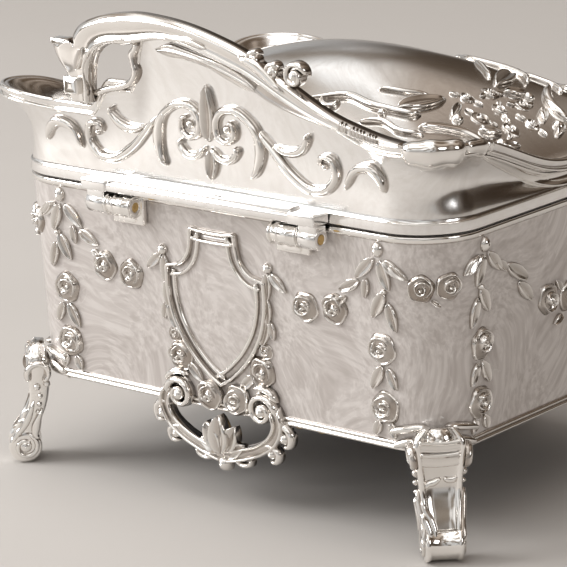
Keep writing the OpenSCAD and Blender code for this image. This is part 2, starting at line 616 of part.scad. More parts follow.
// Section of a raised line: its two feet and its narrower crest
function line_ring(pts, i, dome) = let (s = side_of(pts, i), w = pts[i][2], c = [pts[i][0], pts[i][1]])
    [for (k = [[1, line_seat], [0.45, line_out], [-0.45, line_out], [-1, line_seat]])
        let (p = c + k[0] * w * s, m = dome ? dome_k : panel_k, x = p[0] * m[0], y = p[1] * m[1])
        dome ? on_dome(x, y, k[1]) : on_panel(x, y, k[1])];
module line(pts, n, dome = false) {
    fine = through(pts, n);
    loft([for (i = [0:len(fine) - 1]) line_ring(fine, i, dome)]);
}
// Flower on the dome: its petals' rim and its heart
module flower(x, y, r) {
    loft([for (k = [[1, line_seat], [0.82, line_out * 0.8], [0.3, line_out * 1.15]])
        [for (a = [0:45:315]) on_dome(x * dome_k[0] + k[0] * r * cos(a),
                                      y * dome_k[1] + k[0] * r * sin(a), k[1])]]);
}
module lid_ornament() {
    color("silver") {
        // spear and bud in the middle of the panel
        line([[0, 30.5, 0.5], [0, 26, 1.7], [0, 21.5, 1.3], [0, 17, 0.5]], 2);
        line([[0.9, 14.2, 0.5], [0.9, 10.6, 1.6], [0.9, 7, 0.5]], 2);
        // volutes beside it, arms that curl, and a comma at either end
        for (s = [-1, 1]) {
            line([[s * 2.6, 15, 0.7], [s * 6.4, 13.4, 0.9], [s * 10.4, 16, 1], [s * 10.6, 21.4, 1],
                  [s * 6.8, 24.2, 1], [s * 2.8, 22, 0.8]], 2);
            line([[s * 13, 22, 0.7], [s * 16.4, 19.4, 1.1], [s * 17.6, 14.6, 1.1],
                  [s * 14.6, 10.6, 0.7]], 2);
            line([[s * 18.4, 13.6, 0.7], [s * 22.6, 9.6, 1.1], [s * 29, 8, 1.2], [s * 35.6, 9.4, 1.2],
                  [s * 39.4, 13.6, 1], [s * 36.6, 17.4, 0.8]], 2);
            line([[s * 24, 15.6, 0.6], [s * 28.4, 18, 1.1], [s * 33, 15.4, 0.7]], 2);
            line([[s * 42.6, 9.4, 0.6], [s * 45.6, 14.4, 1.1], [s * 50.4, 15.4, 1.3],
                  [s * 54, 12, 0.8]], 2);
        }
        // scrolls and a leaf over each quarter of the dome
        for (sx = [-1, 1], sy = [-1, 1]) {
            line([[sx * 15, sy * 29, 0.7], [sx * 21, sy * 26, 1], [sx * 30, sy * 27.4, 1.1],
                  [sx * 38, sy * 25.6, 0.8]], 2, true);
            line([[sx * 35.4, sy * 23.4, 0.5], [sx * 38.6, sy * 17.6, 2],
                  [sx * 40, sy * 11, 0.5]], 2, true);
            line([[sx * 44, sy * 28, 0.8], [sx * 47.6, sy * 21.6, 1.2], [sx * 52, sy * 17.8, 1.2],
                  [sx * 57, sy * 17.4, 0.8]], 2, true);
        }
        // a bunch of flowers on either end of the dome
        for (s = [-1, 1], p = [[41.6, 4.4], [42.4, -4.4], [48.4, 0], [49, 9], [49, -9],
                               [55, 4.4], [55.4, -4.4]])
            flower(s * p[0], p[1], 3);
    }
}
lining_in = cove + wall + 0.6 + fit;
module lid_frustum(inset, z0, z1, w1, d1) {
    hull() {
        translate([0, 0, z0]) linear_extrude(0.2)
            rounded_rect(case_w - 2 * inset, case_d - 2 * inset, corner_r - inset);
        translate([0, 0, z1 - 0.2]) linear_extrude(0.2) rounded_rect(w1, d1, 6);
    }
}
mirror_z = seam_z + mirror_rise;
module lid_lining() {
    pad = 3.2;
    color("ivory") difference() {
        lid_frustum(lining_in, seam_z + seam_gap + 0.4, mirror_z, mirror_w + 2, mirror_d + 2);
        lid_frustum(lining_in + pad, seam_z + seam_gap + 0.3, mirror_z + 0.1,
                    mirror_w - 2 * pad, mirror_d - 2 * pad);
    }
}
module mirror_plate() {
    translate([0, 0, mirror_z]) linear_extrude(mirror_t) rounded_rect(mirror_w, mirror_d, 4);
}

// ---- deck and linings ----
deck_in = wall + case_taper * (seam_z - deck_z) / case_h + fit;
lining_off = wall + case_taper * (seam_z - deck_top) / case_h + fit;
module deck_board() {
    color("peru") difference() {
        plate(deck_in, deck_z, board_t);
        translate([0, spindle_y, deck_z - 1]) cylinder(r = spindle_r + 1, h = board_t + 2, $fn = 32);
    }
}
module deck_velvet() {
    color("ivory") difference() {
        plate(lining_off + lining_t + fit, deck_top, velvet_t);
        translate([0, spindle_y, deck_top - 1]) cylinder(r = spindle_r + 1, h = velvet_t + 2, $fn = 32);
    }
}
module wall_lining() {
    color("ivory") moulding([[-lining_off, deck_top], [-lining_off, seam_z - 1.2],
        [-lining_off - lining_t, seam_z - 1.2], [-lining_off - lining_t, deck_top]]);
}

// ---- movement ----
bed_t = 1.5;
bed_z = base_top;
bed_top = bed_z + bed_t;
arbor_r = 1.5;
stub_r = 1;
spindle_r = 1.6;
crown_r = crown_m * crown_teeth / 2;
pinion_r = crown_m * pinion_teeth / 2;
gear_r = train_m * gear_teeth / 2;
small_r = train_m * small_teeth / 2;
worm_wheel_r = train_m * worm_teeth / 2;
axis_z = bed_top + gear_r + 1.8;      // height of the cylinder's axis
crown_z = axis_z + pinion_r;          // pitch plane of the crown wheel
face_w = 2.2;                         // width of the crown's teeth
bracket_t = 1.2;
bracket_1 = crown_r + face_w / 2 + 1.2;          // first bearing bracket
cyl_x = bracket_1 + bracket_t + 0.6;             // start of the cylinder
cyl_l = notes * note_pitch + 0.6;
gear_x = cyl_x + cyl_l + 0.5;
gear_w = 1.2;
bracket_2 = gear_x + gear_w + 0.8;
wheel_x = bracket_2 + bracket_t + 0.8;           // worm wheel
wheel_w = 1.4;
journal_r = 0.8;
gov_angle = -14;
gov_y = spindle_y + (gear_r + small_r) * cos(gov_angle);
gov_z = axis_z + (gear_r + small_r) * sin(gov_angle);
worm_r = 1.45;                                   // pitch radius of the worm
worm_pitch = PI * train_m;
worm_y = gov_y + worm_wheel_r + worm_r;
worm_x = wheel_x + wheel_w / 2;
bed_x0 = -11;
bed_x1 = wheel_x + wheel_w + 4.6;
bed_y0 = spindle_y - 25;
bed_y1 = worm_y + 4;
bed_screw_r = 0.9;
bed_screws = [[bed_x0 + 2.6, bed_y0 + 3], [bed_x0 + 2.6, bed_y1 - 3], [bed_x1 - 3, bed_y0 + 3]];
comb_z = axis_z - 0.4;
comb_t = 0.8;
comb_x = cyl_x + cyl_l / 2;
comb_y0 = bed_y0 + 1.6;
comb_y1 = comb_y0 + 7;
tip_y = spindle_y - cyl_r - pin_out - 0.15;
comb_screw_y = comb_y0 + 3.4;
comb_screw_dx = notes * note_pitch / 2 - 3.4;

// Gear outline: tooth thickness at pitch is thick times the pitch
function gear_points(n, m, thick = 0.4) = [for (i = [0:n - 1])
    let (r = n * m / 2, a = 360 * i / n, p = 360 / n)
    each [for (q = [[r - 1.15 * m, -thick * 0.72], [r, -thick / 2], [r + 0.75 * m, -thick * 0.24],
                    [r + 0.75 * m, thick * 0.24], [r, thick / 2], [r - 1.15 * m, thick * 0.72]])
          q[0] * unit2(a + q[1] * p)]];
module gear(n, m, w, thick = 0.4) { linear_extrude(w) polygon(gear_points(n, m, thick)); }
// x along the cylinder's axis
module on_axis(x, y, z) { translate([x, y, z]) rotate([90, 0, 90]) children(); }

module bedplate() {
    color("gold") difference() {
        translate([bed_x0, bed_y0, bed_z]) cube([bed_x1 - bed_x0, bed_y1 - bed_y0, bed_t]);
        translate([0, spindle_y, bed_z - 1])
            cylinder(r = arbor_r + pin_clear, h = bed_t + 2, $fn = round_fn);
        for (p = bed_screws) translate([p[0], p[1], bed_z - 1])
            cylinder(r = bed_screw_r + pin_clear, h = bed_t + 2, $fn = 24);
    }
}
module movement_screws() {
    color("silver") for (p = bed_screws) translate([p[0], p[1], base_z]) {
        cylinder(r = bed_screw_r, h = base_t + bed_t, $fn = 24);
        translate([0, 0, base_t + bed_t]) cylinder(r1 = 1.8, r2 = 1.4, h = 1, $fn = 24);
    }
}
house_r = crown_r - face_w / 2 - 1;
house_top = crown_z - 0.75 * crown_m - 0.6;
module spring_housing() {
    color("goldenrod") translate([0, spindle_y, bed_top]) rotate_extrude($fn = round_fn)
        polygon([[arbor_r + 0.1, 0], [house_r, 0], [house_r, house_top - bed_top],
                 [house_r - 0.8, house_top - bed_top], [house_r - 0.8, 0.8], [arbor_r + 0.1, 0.8]]);
}
module mainspring() {
    turns = 5;
    steps = 60;
    r0 = arbor_r + 0.6;
    r1 = house_r - 1.2;
    color("slategray") translate([0, spindle_y, bed_top + 1]) linear_extrude(house_top - bed_top - 2)
        polygon(band([for (i = [0:steps]) let (a = 360 * turns * i / steps, r = mix(r0, r1, i / steps))
            [r * cos(a), r * sin(a), 0.14]]));
}
key_z = foot_h - 15;
module winding_key() {
    wing = 7;
    color("goldenrod") translate([0, spindle_y, 0]) {
        translate([0, 0, key_z + 6]) cylinder(r = 2.6, h = foot_h - 1.2 - key_z - 6, $fn = 32);
        translate([0, 0, key_z + 6]) cylinder(r = arbor_r, h = house_top - key_z - 6, $fn = round_fn);
        translate([0, 0, house_top - 0.5])
            cylinder(r = stub_r, h = wheel_bore_top - house_top, $fn = round_fn);
        translate([0, 0.8, key_z]) rotate([90, 0, 0]) linear_extrude(1.6) difference() {
            union() {
                both_sides() translate([wing * 0.55, 4]) scale([1, 0.9]) circle(wing * 0.55, $fn = 32);
                translate([-2.4, 3]) square([4.8, 6]);
            }
            both_sides() translate([wing * 0.6, 4]) circle(wing * 0.26, $fn = 24);
        }
    }
}
crown_top = crown_z + 0.9 * crown_m + 1.4;
wheel_bore_top = crown_top + 0.8;
disc_z = velvet_top + 0.6;
module drive_wheel() {
    pitch_a = 360 / crown_teeth;
    half_t = PI * crown_m * 0.4 / 2;
    color("gold") translate([0, spindle_y, 0]) {
        difference() {
            union() {
                translate([0, 0, crown_z + 0.9 * crown_m])
                    cylinder(r = crown_r + face_w / 2, h = 1.4, $fn = 64);
                translate([0, 0, house_top + 0.2])
                    cylinder(r = 2.4, h = crown_top + 2.4 - house_top, $fn = 32);
                translate([0, 0, crown_top])
                    cylinder(r = spindle_r, h = disc_z - crown_top, $fn = round_fn);
            }
            translate([0, 0, house_top - 1])
                cylinder(r = stub_r + pin_clear, h = wheel_bore_top - house_top + 1, $fn = round_fn);
        }
        for (i = [0:crown_teeth - 1]) rotate([0, 0, pitch_a * (i + 0.5)])
            translate([crown_r - face_w / 2, 0, crown_z]) rotate([90, 0, 90]) linear_extrude(face_w)
                polygon([[-half_t * 0.48, -0.75 * crown_m], [half_t * 0.48, -0.75 * crown_m],
                         [half_t, 0], [half_t * 1.4, 1.1 * crown_m], [-half_t * 1.4, 1.1 * crown_m],
                         [-half_t, 0]]);
    }
}
module cylinder_drum() {
    color("gold") {
        on_axis(crown_r - face_w / 2 + 0.1, spindle_y, axis_z) {
            rotate([0, 0, 90]) gear(pinion_teeth, crown_m, face_w - 0.2);
            cylinder(r = journal_r, h = bracket_2 + bracket_t - crown_r + face_w / 2, $fn = 32);
        }
        on_axis(cyl_x, spindle_y, axis_z) cylinder(r = cyl_r, h = cyl_l, $fn = 64);
        on_axis(gear_x, spindle_y, axis_z) gear(gear_teeth, train_m, gear_w);
        on_axis(cyl_x + cyl_l - 0.1, spindle_y, axis_z) cylinder(r = 2, h = 0.8, $fn = 24);
        for (i = [0:notes - 1], j = [0:1])
            on_axis(cyl_x + 0.3 + note_pitch * (i + 0.5), spindle_y, axis_z)
                rotate([0, 0, (i * 137.5 + j * (120 + 17 * (i % 5))) % 360]) rotate([0, 90, 0])
                    cylinder(r = 0.22, h = cyl_r + pin_out, $fn = 16);
    }
}
module bearing_brackets() {
    color("gold") {
        for (x = [bracket_1, bracket_2]) difference() {
            translate([x, 0, bed_top]) rotate([90, 0, 90]) linear_extrude(bracket_t)
                polygon([[spindle_y - 4, 0], [(x == bracket_2 ? gov_y : spindle_y) + 4, 0],
                         [(x == bracket_2 ? gov_y : spindle_y) + 3, axis_z - bed_top + 2.6],
                         [spindle_y - 3, axis_z - bed_top + 2.6]]);
            on_axis(x - 1, spindle_y, axis_z)
                cylinder(r = journal_r + pin_clear, h = bracket_t + 2, $fn = 32);
            if (x == bracket_2) on_axis(x - 1, gov_y, gov_z)
                cylinder(r = journal_r + pin_clear, h = bracket_t + 2, $fn = 32);
        }
        // governor post with the worm's two bearings
        difference() {
            translate([worm_x - 1.6, worm_y - 1.4, bed_top]) {
                cube([3.2, 4.8, 1.2]);
                translate([0, 3.8, 0]) cube([3.2, 1, fan_z - bed_top - 0.4]);
                translate([0, 0, fan_z - bed_top - 1.6]) cube([3.2, 4.8, 1.2]);
            }
            translate([worm_x, worm_y, bed_top - 1])
                cylinder(r = pivot_r + pin_clear, h = fan_z - bed_top + 4, $fn = 24);
        }
    }
}
pivot_r = 0.5;
fan_z = gov_z + 6.2;
module governor_wheel() {
    color("gold") {
        on_axis(gear_x, gov_y, gov_z) {
            rotate([0, 0, 180 + gov_angle + 180 / small_teeth]) gear(small_teeth, train_m, gear_w);
            cylinder(r = journal_r, h = wheel_x - gear_x + wheel_w + 0.2, $fn = 32);
        }
        on_axis(wheel_x, gov_y, gov_z) rotate([0, 0, 180 / worm_teeth])
            gear(worm_teeth, train_m, wheel_w, 0.34);
    }
}
module governor_worm() {
    turns = 4;
    core = 0.75;
    tip = worm_r + 0.4;
    thread = concat([for (a = [-36:24:36]) tip * unit2(a)],
                    [for (a = [72:36:288]) core * unit2(a)]);
    color("silver") translate([worm_x, worm_y, 0]) {
        translate([0, 0, gov_z]) rotate([0, 0, -90]) translate([0, 0, -turns / 2 * worm_pitch])
            linear_extrude(turns * worm_pitch, twist = 360 * turns, slices = 10 * turns) polygon(thread);
        translate([0, 0, bed_top + 0.3]) cylinder(r = pivot_r, h = fan_z - bed_top + 1, $fn = 24);
        translate([0, 0, fan_z]) {
            cylinder(r = 1, h = 3, $fn = 24);
            translate([-3.2, -0.2, 0]) cube([6.4, 0.4, 3]);
        }
    }
}
module comb() {
    comb_w = notes * note_pitch;
    color("silver") difference() {
        union() {
            translate([comb_x, 0, comb_z]) linear_extrude(comb_t) {
                translate([-comb_w / 2, comb_y0]) square([comb_w, comb_y1 - comb_y0]);
                for (i = [0:notes - 1]) translate([(i - (notes - 1) / 2) * note_pitch, comb_y1 - 0.1])
                    polygon([[-0.4, 0], [0.4, 0], [0.24, tip_y - comb_y1 + 0.1],
                             [-0.24, tip_y - comb_y1 + 0.1]]);
            }
            translate([comb_x - comb_w / 2, comb_y0, bed_top]) cube([comb_w, 6, comb_z - bed_top]);
        }
        for (s = [-1, 1]) translate([comb_x + s * comb_screw_dx, comb_screw_y, bed_top + 2])
            cylinder(r = bed_screw_r + pin_clear, h = 20, $fn = 24);
    }
}
module comb_screws() {
    color("silver") for (s = [-1, 1]) translate([comb_x + s * comb_screw_dx, comb_screw_y, 0]) {
        translate([0, 0, bed_top + 2.4])
            cylinder(r = bed_screw_r, h = comb_z + comb_t - bed_top - 2.4, $fn = 24);
        translate([0, 0, comb_z + comb_t]) cylinder(r1 = 1.8, r2 = 1.4, h = 1, $fn = 24);
    }
}

// ---- dancer ----
spring_z = disc_z + 1.4;
toe_z = spring_z + spring_h + 0.1;
coil_r = 1.9;
module turntable_disc() {
    color("gold") translate([0, spindle_y, disc_z]) rotate_extrude($fn = round_fn)
        polygon([[0, 0], [disc_r - 0.4, 0], [disc_r, 0.5], [disc_r - 0.5, 1], [2.8, 1.4], [0, 1.4]]);
}
module dancer_spring() {
    turns = 6;
    per = 10;
    n = turns * per;
    wire = wire_d / 2;
    color("silver") translate([0, spindle_y, spring_z + wire + 0.02]) loft([for (i = [0:n])
        let (a = 360 * i / per, z = (spring_h - wire_d - 0.04) * i / n)
        [for (b = [0:60:300]) [(coil_r + wire * cos(b)) * cos(a), (coil_r + wire * cos(b)) * sin(a),
                               z + wire * sin(b)]]]);
}
module limb(a, b, ra, rb) {
    hull() {
        translate(a) sphere(ra, $fn = 12);
        translate(b) sphere(rb, $fn = 12);
    }
}
module dancer_figure() {
    h = dancer_h;
    color("mistyrose") translate([0, spindle_y, toe_z]) {
        cylinder(r = coil_r + wire_d / 2, h = 0.5, $fn = 32);
        translate([0, 0, -spring_h * 0.7])
            cylinder(r = coil_r - wire_d / 2 - fit, h = spring_h * 0.7 + 0.2, $fn = 24);
        limb([0.4, 0, 0.5], [0.7, 0, h * 0.4], 0.45, 1);
        limb([-0.5, 0.3, 0.5], [-0.8, 0, h * 0.4], 0.45, 1);
        translate([0, 0, h * 0.36]) rotate_extrude($fn = 32)
            polygon([[0, 0], [1.5, 0.3], [2, h * 0.05], [1.5, h * 0.1], [1.25, h * 0.13], [1.7, h * 0.2],
                     [1.5, h * 0.24], [0.6, h * 0.27], [0.55, h * 0.32], [0, h * 0.34]]);
        translate([0, 0, h * 0.36 + h * 0.36]) scale([0.9, 1, 1.2]) sphere(h * 0.052, $fn = 24);
        translate([0, 0.5, h * 0.36 + h * 0.43]) sphere(h * 0.026, $fn = 16);
        for (s = [-1, 1]) {
            limb([s * 1.7, 0, h * 0.58], [s * 3.4, -0.8, h * 0.78], 0.5, 0.42);
            limb([s * 3.4, -0.8, h * 0.78], [s * 0.7, -1, h * 0.97], 0.42, 0.32);
        }
    }
}
module dancer_tutu() {
    z = toe_z + dancer_h * 0.41;
    hip = 2 + fit;
    color("white") translate([0, spindle_y, z]) rotate_extrude($fn = 64)
        polygon([[hip, 0], [tutu_r * 0.6, -0.9], [tutu_r, -0.4], [tutu_r, 0.3],
                 [tutu_r * 0.6, 0.9], [hip, 1.4]]);
}

case_shell();
back_cartouche();
front_cartouche();
back_garlands();
front_garlands();
side_garlands();
corner_garlands();
foot_back_left();
foot_back_right();
foot_front_left();
foot_front_right();
foot_screws();
base_plate();
hinge_knuckles();
deck_board();
deck_velvet();
wall_lining();
bedplate();
spring_housing();
mainspring();
movement_screws();
comb();
comb_screws();
bearing_brackets();
winding_key();
drive_wheel();
turntable_disc();
dancer_spring();
dancer_figure();
dancer_tutu();
cylinder_drum();  // cylinder
governor_wheel();
governor_worm();
lid_casting();
lid_crest();
lid_ornament();
hinge_shelf();
hinge_pins();
lid_lining();
mirror_plate();  // mirror
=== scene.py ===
import json
import math

import bpy
import numpy as np
from bpy.props import FloatProperty, FloatVectorProperty, PointerProperty
from mathutils import Matrix, Vector


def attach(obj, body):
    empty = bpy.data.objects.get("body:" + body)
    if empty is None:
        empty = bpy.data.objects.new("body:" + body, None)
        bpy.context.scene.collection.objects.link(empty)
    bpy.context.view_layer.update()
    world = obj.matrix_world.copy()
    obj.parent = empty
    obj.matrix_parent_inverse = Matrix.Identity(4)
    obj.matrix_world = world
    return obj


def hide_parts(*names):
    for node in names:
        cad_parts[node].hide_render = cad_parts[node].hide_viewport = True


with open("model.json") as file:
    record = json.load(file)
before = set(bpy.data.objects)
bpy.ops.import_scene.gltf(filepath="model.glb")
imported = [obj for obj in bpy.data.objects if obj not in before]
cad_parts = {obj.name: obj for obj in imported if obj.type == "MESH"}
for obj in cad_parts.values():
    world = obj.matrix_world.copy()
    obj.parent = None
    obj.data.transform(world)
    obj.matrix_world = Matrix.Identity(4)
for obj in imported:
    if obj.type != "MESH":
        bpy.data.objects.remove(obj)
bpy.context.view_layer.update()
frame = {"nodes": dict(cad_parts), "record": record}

bl_info = {
    "name": "Ballerina jewellery casket",
    "version": (1, 0, 0),
    "blender": (4, 5, 0),
    "location": "3D View > Sidebar > Casket",
    "description": "Dresses the casket's frame: enamel, silver, garlands, feet, crest, linings and dancer",
    "category": "Object",
}

MM = 0.001
TAU = 2 * math.pi

# ---- sizes of the casting, in millimetres ----
CASE_W, CASE_D, CASE_H = 140.0, 110.0, 54.0
TAPER, CORNER_R, WALL = 2.5, 16.0, 2.2
FOOT_H = 25.0
SEAM = FOOT_H + CASE_H
RIM_H, CUSP_H, CUSP_FLARE, CUSP_REACH = 10.0, 13.0, 7.0, 9.5
PANEL_H, COVE, DOME_H = 44.0, 0.5, 31.5
FLARE, FLARE_SLOPE = 1.2, 0.02
CORNER_H = RIM_H + CUSP_H
DIAGONAL = CORNER_R * (1 - math.sqrt(0.5))
BACK_DIP = 2                 # how far the back rim falls from a corner before the panel rises
VALLEY = RIM_H - 1.2
FLANGE_H = 3.2
WALL_LOW, UNDER_ROLL = FLANGE_H + 0.6, 1.2      # foot of the lid's wall, and its top's depth under the rim
SEAM_GAP = 0.3
STRAIGHT_X = CASE_W / 2 - CORNER_R
STRAIGHT_Y = CASE_D / 2 - CORNER_R
QUARTER = CORNER_R * math.pi / 2
AROUND = 4 * (STRAIGHT_X + STRAIGHT_Y + QUARTER)
SIDE_S = STRAIGHT_X + QUARTER + STRAIGHT_Y     # arc length from the back's middle to a side's middle
CORNER_S = STRAIGHT_X + QUARTER / 2            # and to a back corner's middle
HINGE_Y, HINGE_Z = 58.3, 76.1
DECK_TOP, DECK_X, DECK_Y = 51.2, 64.41, 49.41     # top of the deck's board, and its half sizes
MIRROR_Z, MIRROR_W, MIRROR_D = 94.0, 92.0, 62.0
SPINDLE_Y = 18.0


# ======== curves and surfaces, all as whole arrays ========
def smooth(a, b, x):
    """Goes from 0 at a to 1 at b along 3 t squared minus 2 t cubed."""
    t = np.clip((np.asarray(x, float) - a) / (b - a), 0, 1)
    return t * t * (3 - 2 * t)


def bell(x, w):
    """The bell e to the minus x over w, squared."""
    return np.exp(-(np.asarray(x, float) / w) ** 2)


def plan(s, grow=0.0):
    """Point and outward direction on the case's outline at arc length s from the back's middle towards
    -X: straight sides joined by quarter circles, the whole pushed out by grow along its own outward
    direction."""
    s = np.mod(np.asarray(s, float), AROUND)
    a, b, q, r = STRAIGHT_X, STRAIGHT_Y, QUARTER, CORNER_R
    marks = np.cumsum([a, q, 2 * b, q, 2 * a, q, 2 * b, q])
    k = np.searchsorted(marks, s, side="right")
    start = np.concatenate([[0], marks])[k]
    t = s - start
    turn = np.array([0, 0, 1, 1, 2, 2, 3, 3, 4])[k] * math.pi / 2
    on_arc = (k % 2 == 1) & (k < 8)
    angle = turn + np.where(on_arc, t / r, 0)
    n = np.stack([-np.sin(angle), np.cos(angle)], -1)
    along = np.stack([-np.cos(angle), -np.sin(angle)], -1)
    centres = np.array([[-a, b], [-a, -b], [a, -b], [a, b]])
    arc_no = np.clip((k - 1) // 2, 0, 3)
    starts = np.array([[0, b + r], [0, 0], [-a - r, b], [0, 0], [-a, -b - r], [0, 0], [a + r, -b], [0, 0],
                       [a, b + r]])
    straight = starts[k] + along * t[..., None]
    p = np.where(on_arc[..., None], centres[arc_no] + r * n, straight)
    return p + np.asarray(grow, float)[..., None] * n, n


def case_at(s, z, out=0.0):
    """Point of the case wall: the outline at s, leaning in with depth below the seam, pushed out by out."""
    lean = -TAPER * np.clip(SEAM - z, 0, None) / CASE_H
    p, _ = plan(s, lean + out)
    return np.concatenate([p, np.broadcast_to(z, p.shape[:-1])[..., None]], -1)


def run(p):
    """How far an outline point is from its corner's diagonal."""
    return np.maximum(CASE_W / 2 - abs(p[..., 0]), CASE_D / 2 - abs(p[..., 1])) - DIAGONAL


def panel(x):
    """Rise of the back panel over the corners, x to the right seen from behind: two smooth steps up, one
    long way down."""
    up = 0.32 * smooth(-38, -31, x) + 0.68 * smooth(-24, -18, x)
    return (PANEL_H - CORNER_H + BACK_DIP) * up * (1 - smooth(-8, 64, x))


def rim_rise(p, n):
    """Height of the lid's rim above the seam: half a cosine from each corner's cusp down to the middle of
    a side, lower cusps at the front, and the tall panel along the back."""
    half = np.where(abs(n[..., 1]) > abs(n[..., 0]), CASE_W, CASE_D) / 2 - DIAGONAL
    cusp = CUSP_H * (0.6 + 0.4 * smooth(-25, 25, p[..., 1]))
    sides = RIM_H + cusp * (0.5 + 0.5 * np.cos(np.pi * run(p) / half))
    back = CORNER_H - BACK_DIP * smooth(0, CORNER_R, run(p)) + panel(-p[..., 0])
    return np.where(n[..., 1] > 0.71, back, sides)


def rim_off(p, n):
    """How far the rim stands out of the outline: a slight flare, and a bell of it at each corner."""
    return FLARE + FLARE_SLOPE * (rim_rise(p, n) - RIM_H) + (CUSP_FLARE - FLARE) * bell(run(p), CUSP_REACH)


def hollow(n):
    """Depth of the hollow in the lid's wall: slight along the back, deeper on the other three sides."""
    return COVE + 1.5 * (1 - smooth(0.4, 0.9, n[..., 1]))


def lid_at(s, t):
    """Point of the lid's wall at share t of its height: it flares with t cubed and is hollowed by a
    squared sine."""
    p, n = plan(s)
    off = rim_off(p, n) * t ** 3 - hollow(n) * np.sin(np.pi * t) ** 2
    z = SEAM + WALL_LOW + (rim_rise(p, n) - UNDER_ROLL - WALL_LOW) * t
    return np.concatenate([p + off[..., None] * n, z[..., None]], -1)


def on_case(P, s0=0.0):
    """Lays a flat pattern (x along the wall, y the height above the seam, z out of it) round the case."""
    return case_at(P[..., 0] + s0, SEAM + P[..., 1], P[..., 2])


def on_lid(P, s0=0.0):
    """Lays a flat pattern (x along the wall, y the height above the seam, z out of it) round the lid's
    wall."""
    s = P[..., 0] + s0
    p, n = plan(s)
    t = np.clip((P[..., 1] - WALL_LOW) / (rim_rise(p, n) - UNDER_ROLL - WALL_LOW), 0, 1)
    off = rim_off(p, n) * t ** 3 - hollow(n) * np.sin(np.pi * t) ** 2
    q = p + (off + P[..., 2])[..., None] * n
    return np.concatenate([q, (SEAM + P[..., 1])[..., None]], -1)


def outline_reach(angle, w, d, r):
    """Distance from the middle to a rounded rectangle in a direction: to its side, or to its corner's
    circle."""
    c, s = np.cos(angle), np.sin(angle)
    a, b = w / 2 - r, d / 2 - r
    flat = np.minimum((w / 2) / np.maximum(abs(c), 1e-9), (d / 2) / np.maximum(abs(s), 1e-9))
    dot = abs(c) * a + abs(s) * b
    root = dot + np.sqrt(np.maximum(dot * dot - a * a - b * b + r * r, 0))
    in_corner = (abs(c) * flat > a) & (abs(s) * flat > b)
    return np.where(in_corner, root, flat)


DOME_IN = 3.4          # the dome's foot inside the outline
DOME_W, DOME_D, DOME_R = CASE_W - 2 * DOME_IN, CASE_D - 2 * DOME_IN, CORNER_R - DOME_IN


def dome_reach(angle, share):
    """Distance from the middle at share of the dome's foot: an ellipse near the top that turns into the
    outline."""
    edge = outline_reach(angle, DOME_W, DOME_D, DOME_R)
    ellipse = 1 / np.sqrt((np.cos(angle) / (DOME_W / 2)) ** 2 + (np.sin(angle) / (DOME_D / 2)) ** 2)
    return share * (ellipse + (edge - ellipse) * share ** 1.5)


def dome_height(share):
    """Height of the dome above the seam: it falls with the square of the share of its foot."""
    return VALLEY + (DOME_H - VALLEY) * (1 - np.clip(share, 0, 1.02) ** 2.0)


def dome_z(x, y):
    """Height of the dome above a plan point, its share found by halving the interval 24 times."""
    angle, far = np.arctan2(y, x), np.hypot(x, y)
    lo, hi = np.zeros_like(far), np.full_like(far, 1.1)
    for _ in range(24):
        mid = (lo + hi) / 2
        below = dome_reach(angle, mid) < far
        lo, hi = np.where(below, mid, lo), np.where(below, hi, mid)
    return SEAM + dome_height((lo + hi) / 2)


def on_dome(P):
    """Lays a pattern (plan x and y, z out) on the dome along the dome's own normal."""
    x, y = P[..., 0], P[..., 1]
    e = 0.05
    z = dome_z(x, y)
    gx = (dome_z(x + e, y) - dome_z(x - e, y)) / (2 * e)
    gy = (dome_z(x, y + e) - dome_z(x, y - e)) / (2 * e)
    n = np.stack([-gx, -gy, np.ones_like(gx)], -1)
    n /= np.linalg.norm(n, axis=-1, keepdims=True)
    return np.stack([x, y, z], -1) + n * P[..., 2:3]


def catmull(points, n=8):
    """Smooth curve through the points: Catmull and Rom's cubic, n steps to a span, any number of
    columns."""
    p = np.asarray(points, float)
    q = np.vstack([2 * p[0] - p[1], p, 2 * p[-1] - p[-2]])
    t = np.linspace(0, 1, n, endpoint=False)[None, :, None]
    a, b, c, d = (q[i:len(q) - 3 + i][:, None, :] for i in range(4))
    body = 0.5 * (2 * b + (c - a) * t + (2 * a - 5 * b + 4 * c - d) * t ** 2
                  + (3 * b - a - 3 * c + d) * t ** 3)
    return np.vstack([body.reshape(-1, p.shape[1]), p[-1:]])


def spiral(centre, r0, r1, a0, a1, n=26, w0=0.8, w1=0.4):
    """Spiral whose radius goes evenly from r0 to r1 while its angle goes from a0 to a1 degrees, with half
    widths."""
    t = np.linspace(0, 1, n)
    r, a = r0 + (r1 - r0) * t, np.radians(a0 + (a1 - a0) * t)
    return np.stack([centre[0] + r * np.cos(a), centre[1] + r * np.sin(a), w0 + (w1 - w0) * t], 1)


def sides_of(path):
    """Left hand direction at each point of a flat path."""
    d = np.gradient(path[:, :2], axis=0)
    d /= np.maximum(np.linalg.norm(d, axis=1, keepdims=True), 1e-9)
    return np.stack([-d[:, 1], d[:, 0]], 1)


def skin(P, closed_u=False):
    """Closed skin over a grid of points whose second index runs round a loop. Its ends get a pole each,
    or meet."""
    n, m = P.shape[:2]
    idx = np.arange(n * m).reshape(n, m)
    a, c = (idx, np.roll(idx, -1, 0)) if closed_u else (idx[:-1], idx[1:])
    b, d = np.roll(a, -1, 1), np.roll(c, -1, 1)
    quads = np.stack([a, b, d, c], -1).reshape(-1, 4)
    V = P.reshape(-1, 3)
    tris = np.zeros((0, 3), int)
    if not closed_u:
        V = np.vstack([V, P[0].mean(0), P[-1].mean(0)])
        first, last = idx[0], idx[-1]
        tris = np.vstack([np.stack([np.roll(first, -1), first, np.full(m, n * m)], 1),
                          np.stack([last, np.roll(last, -1), np.full(m, n * m + 1)], 1)])
    return V, quads, tris


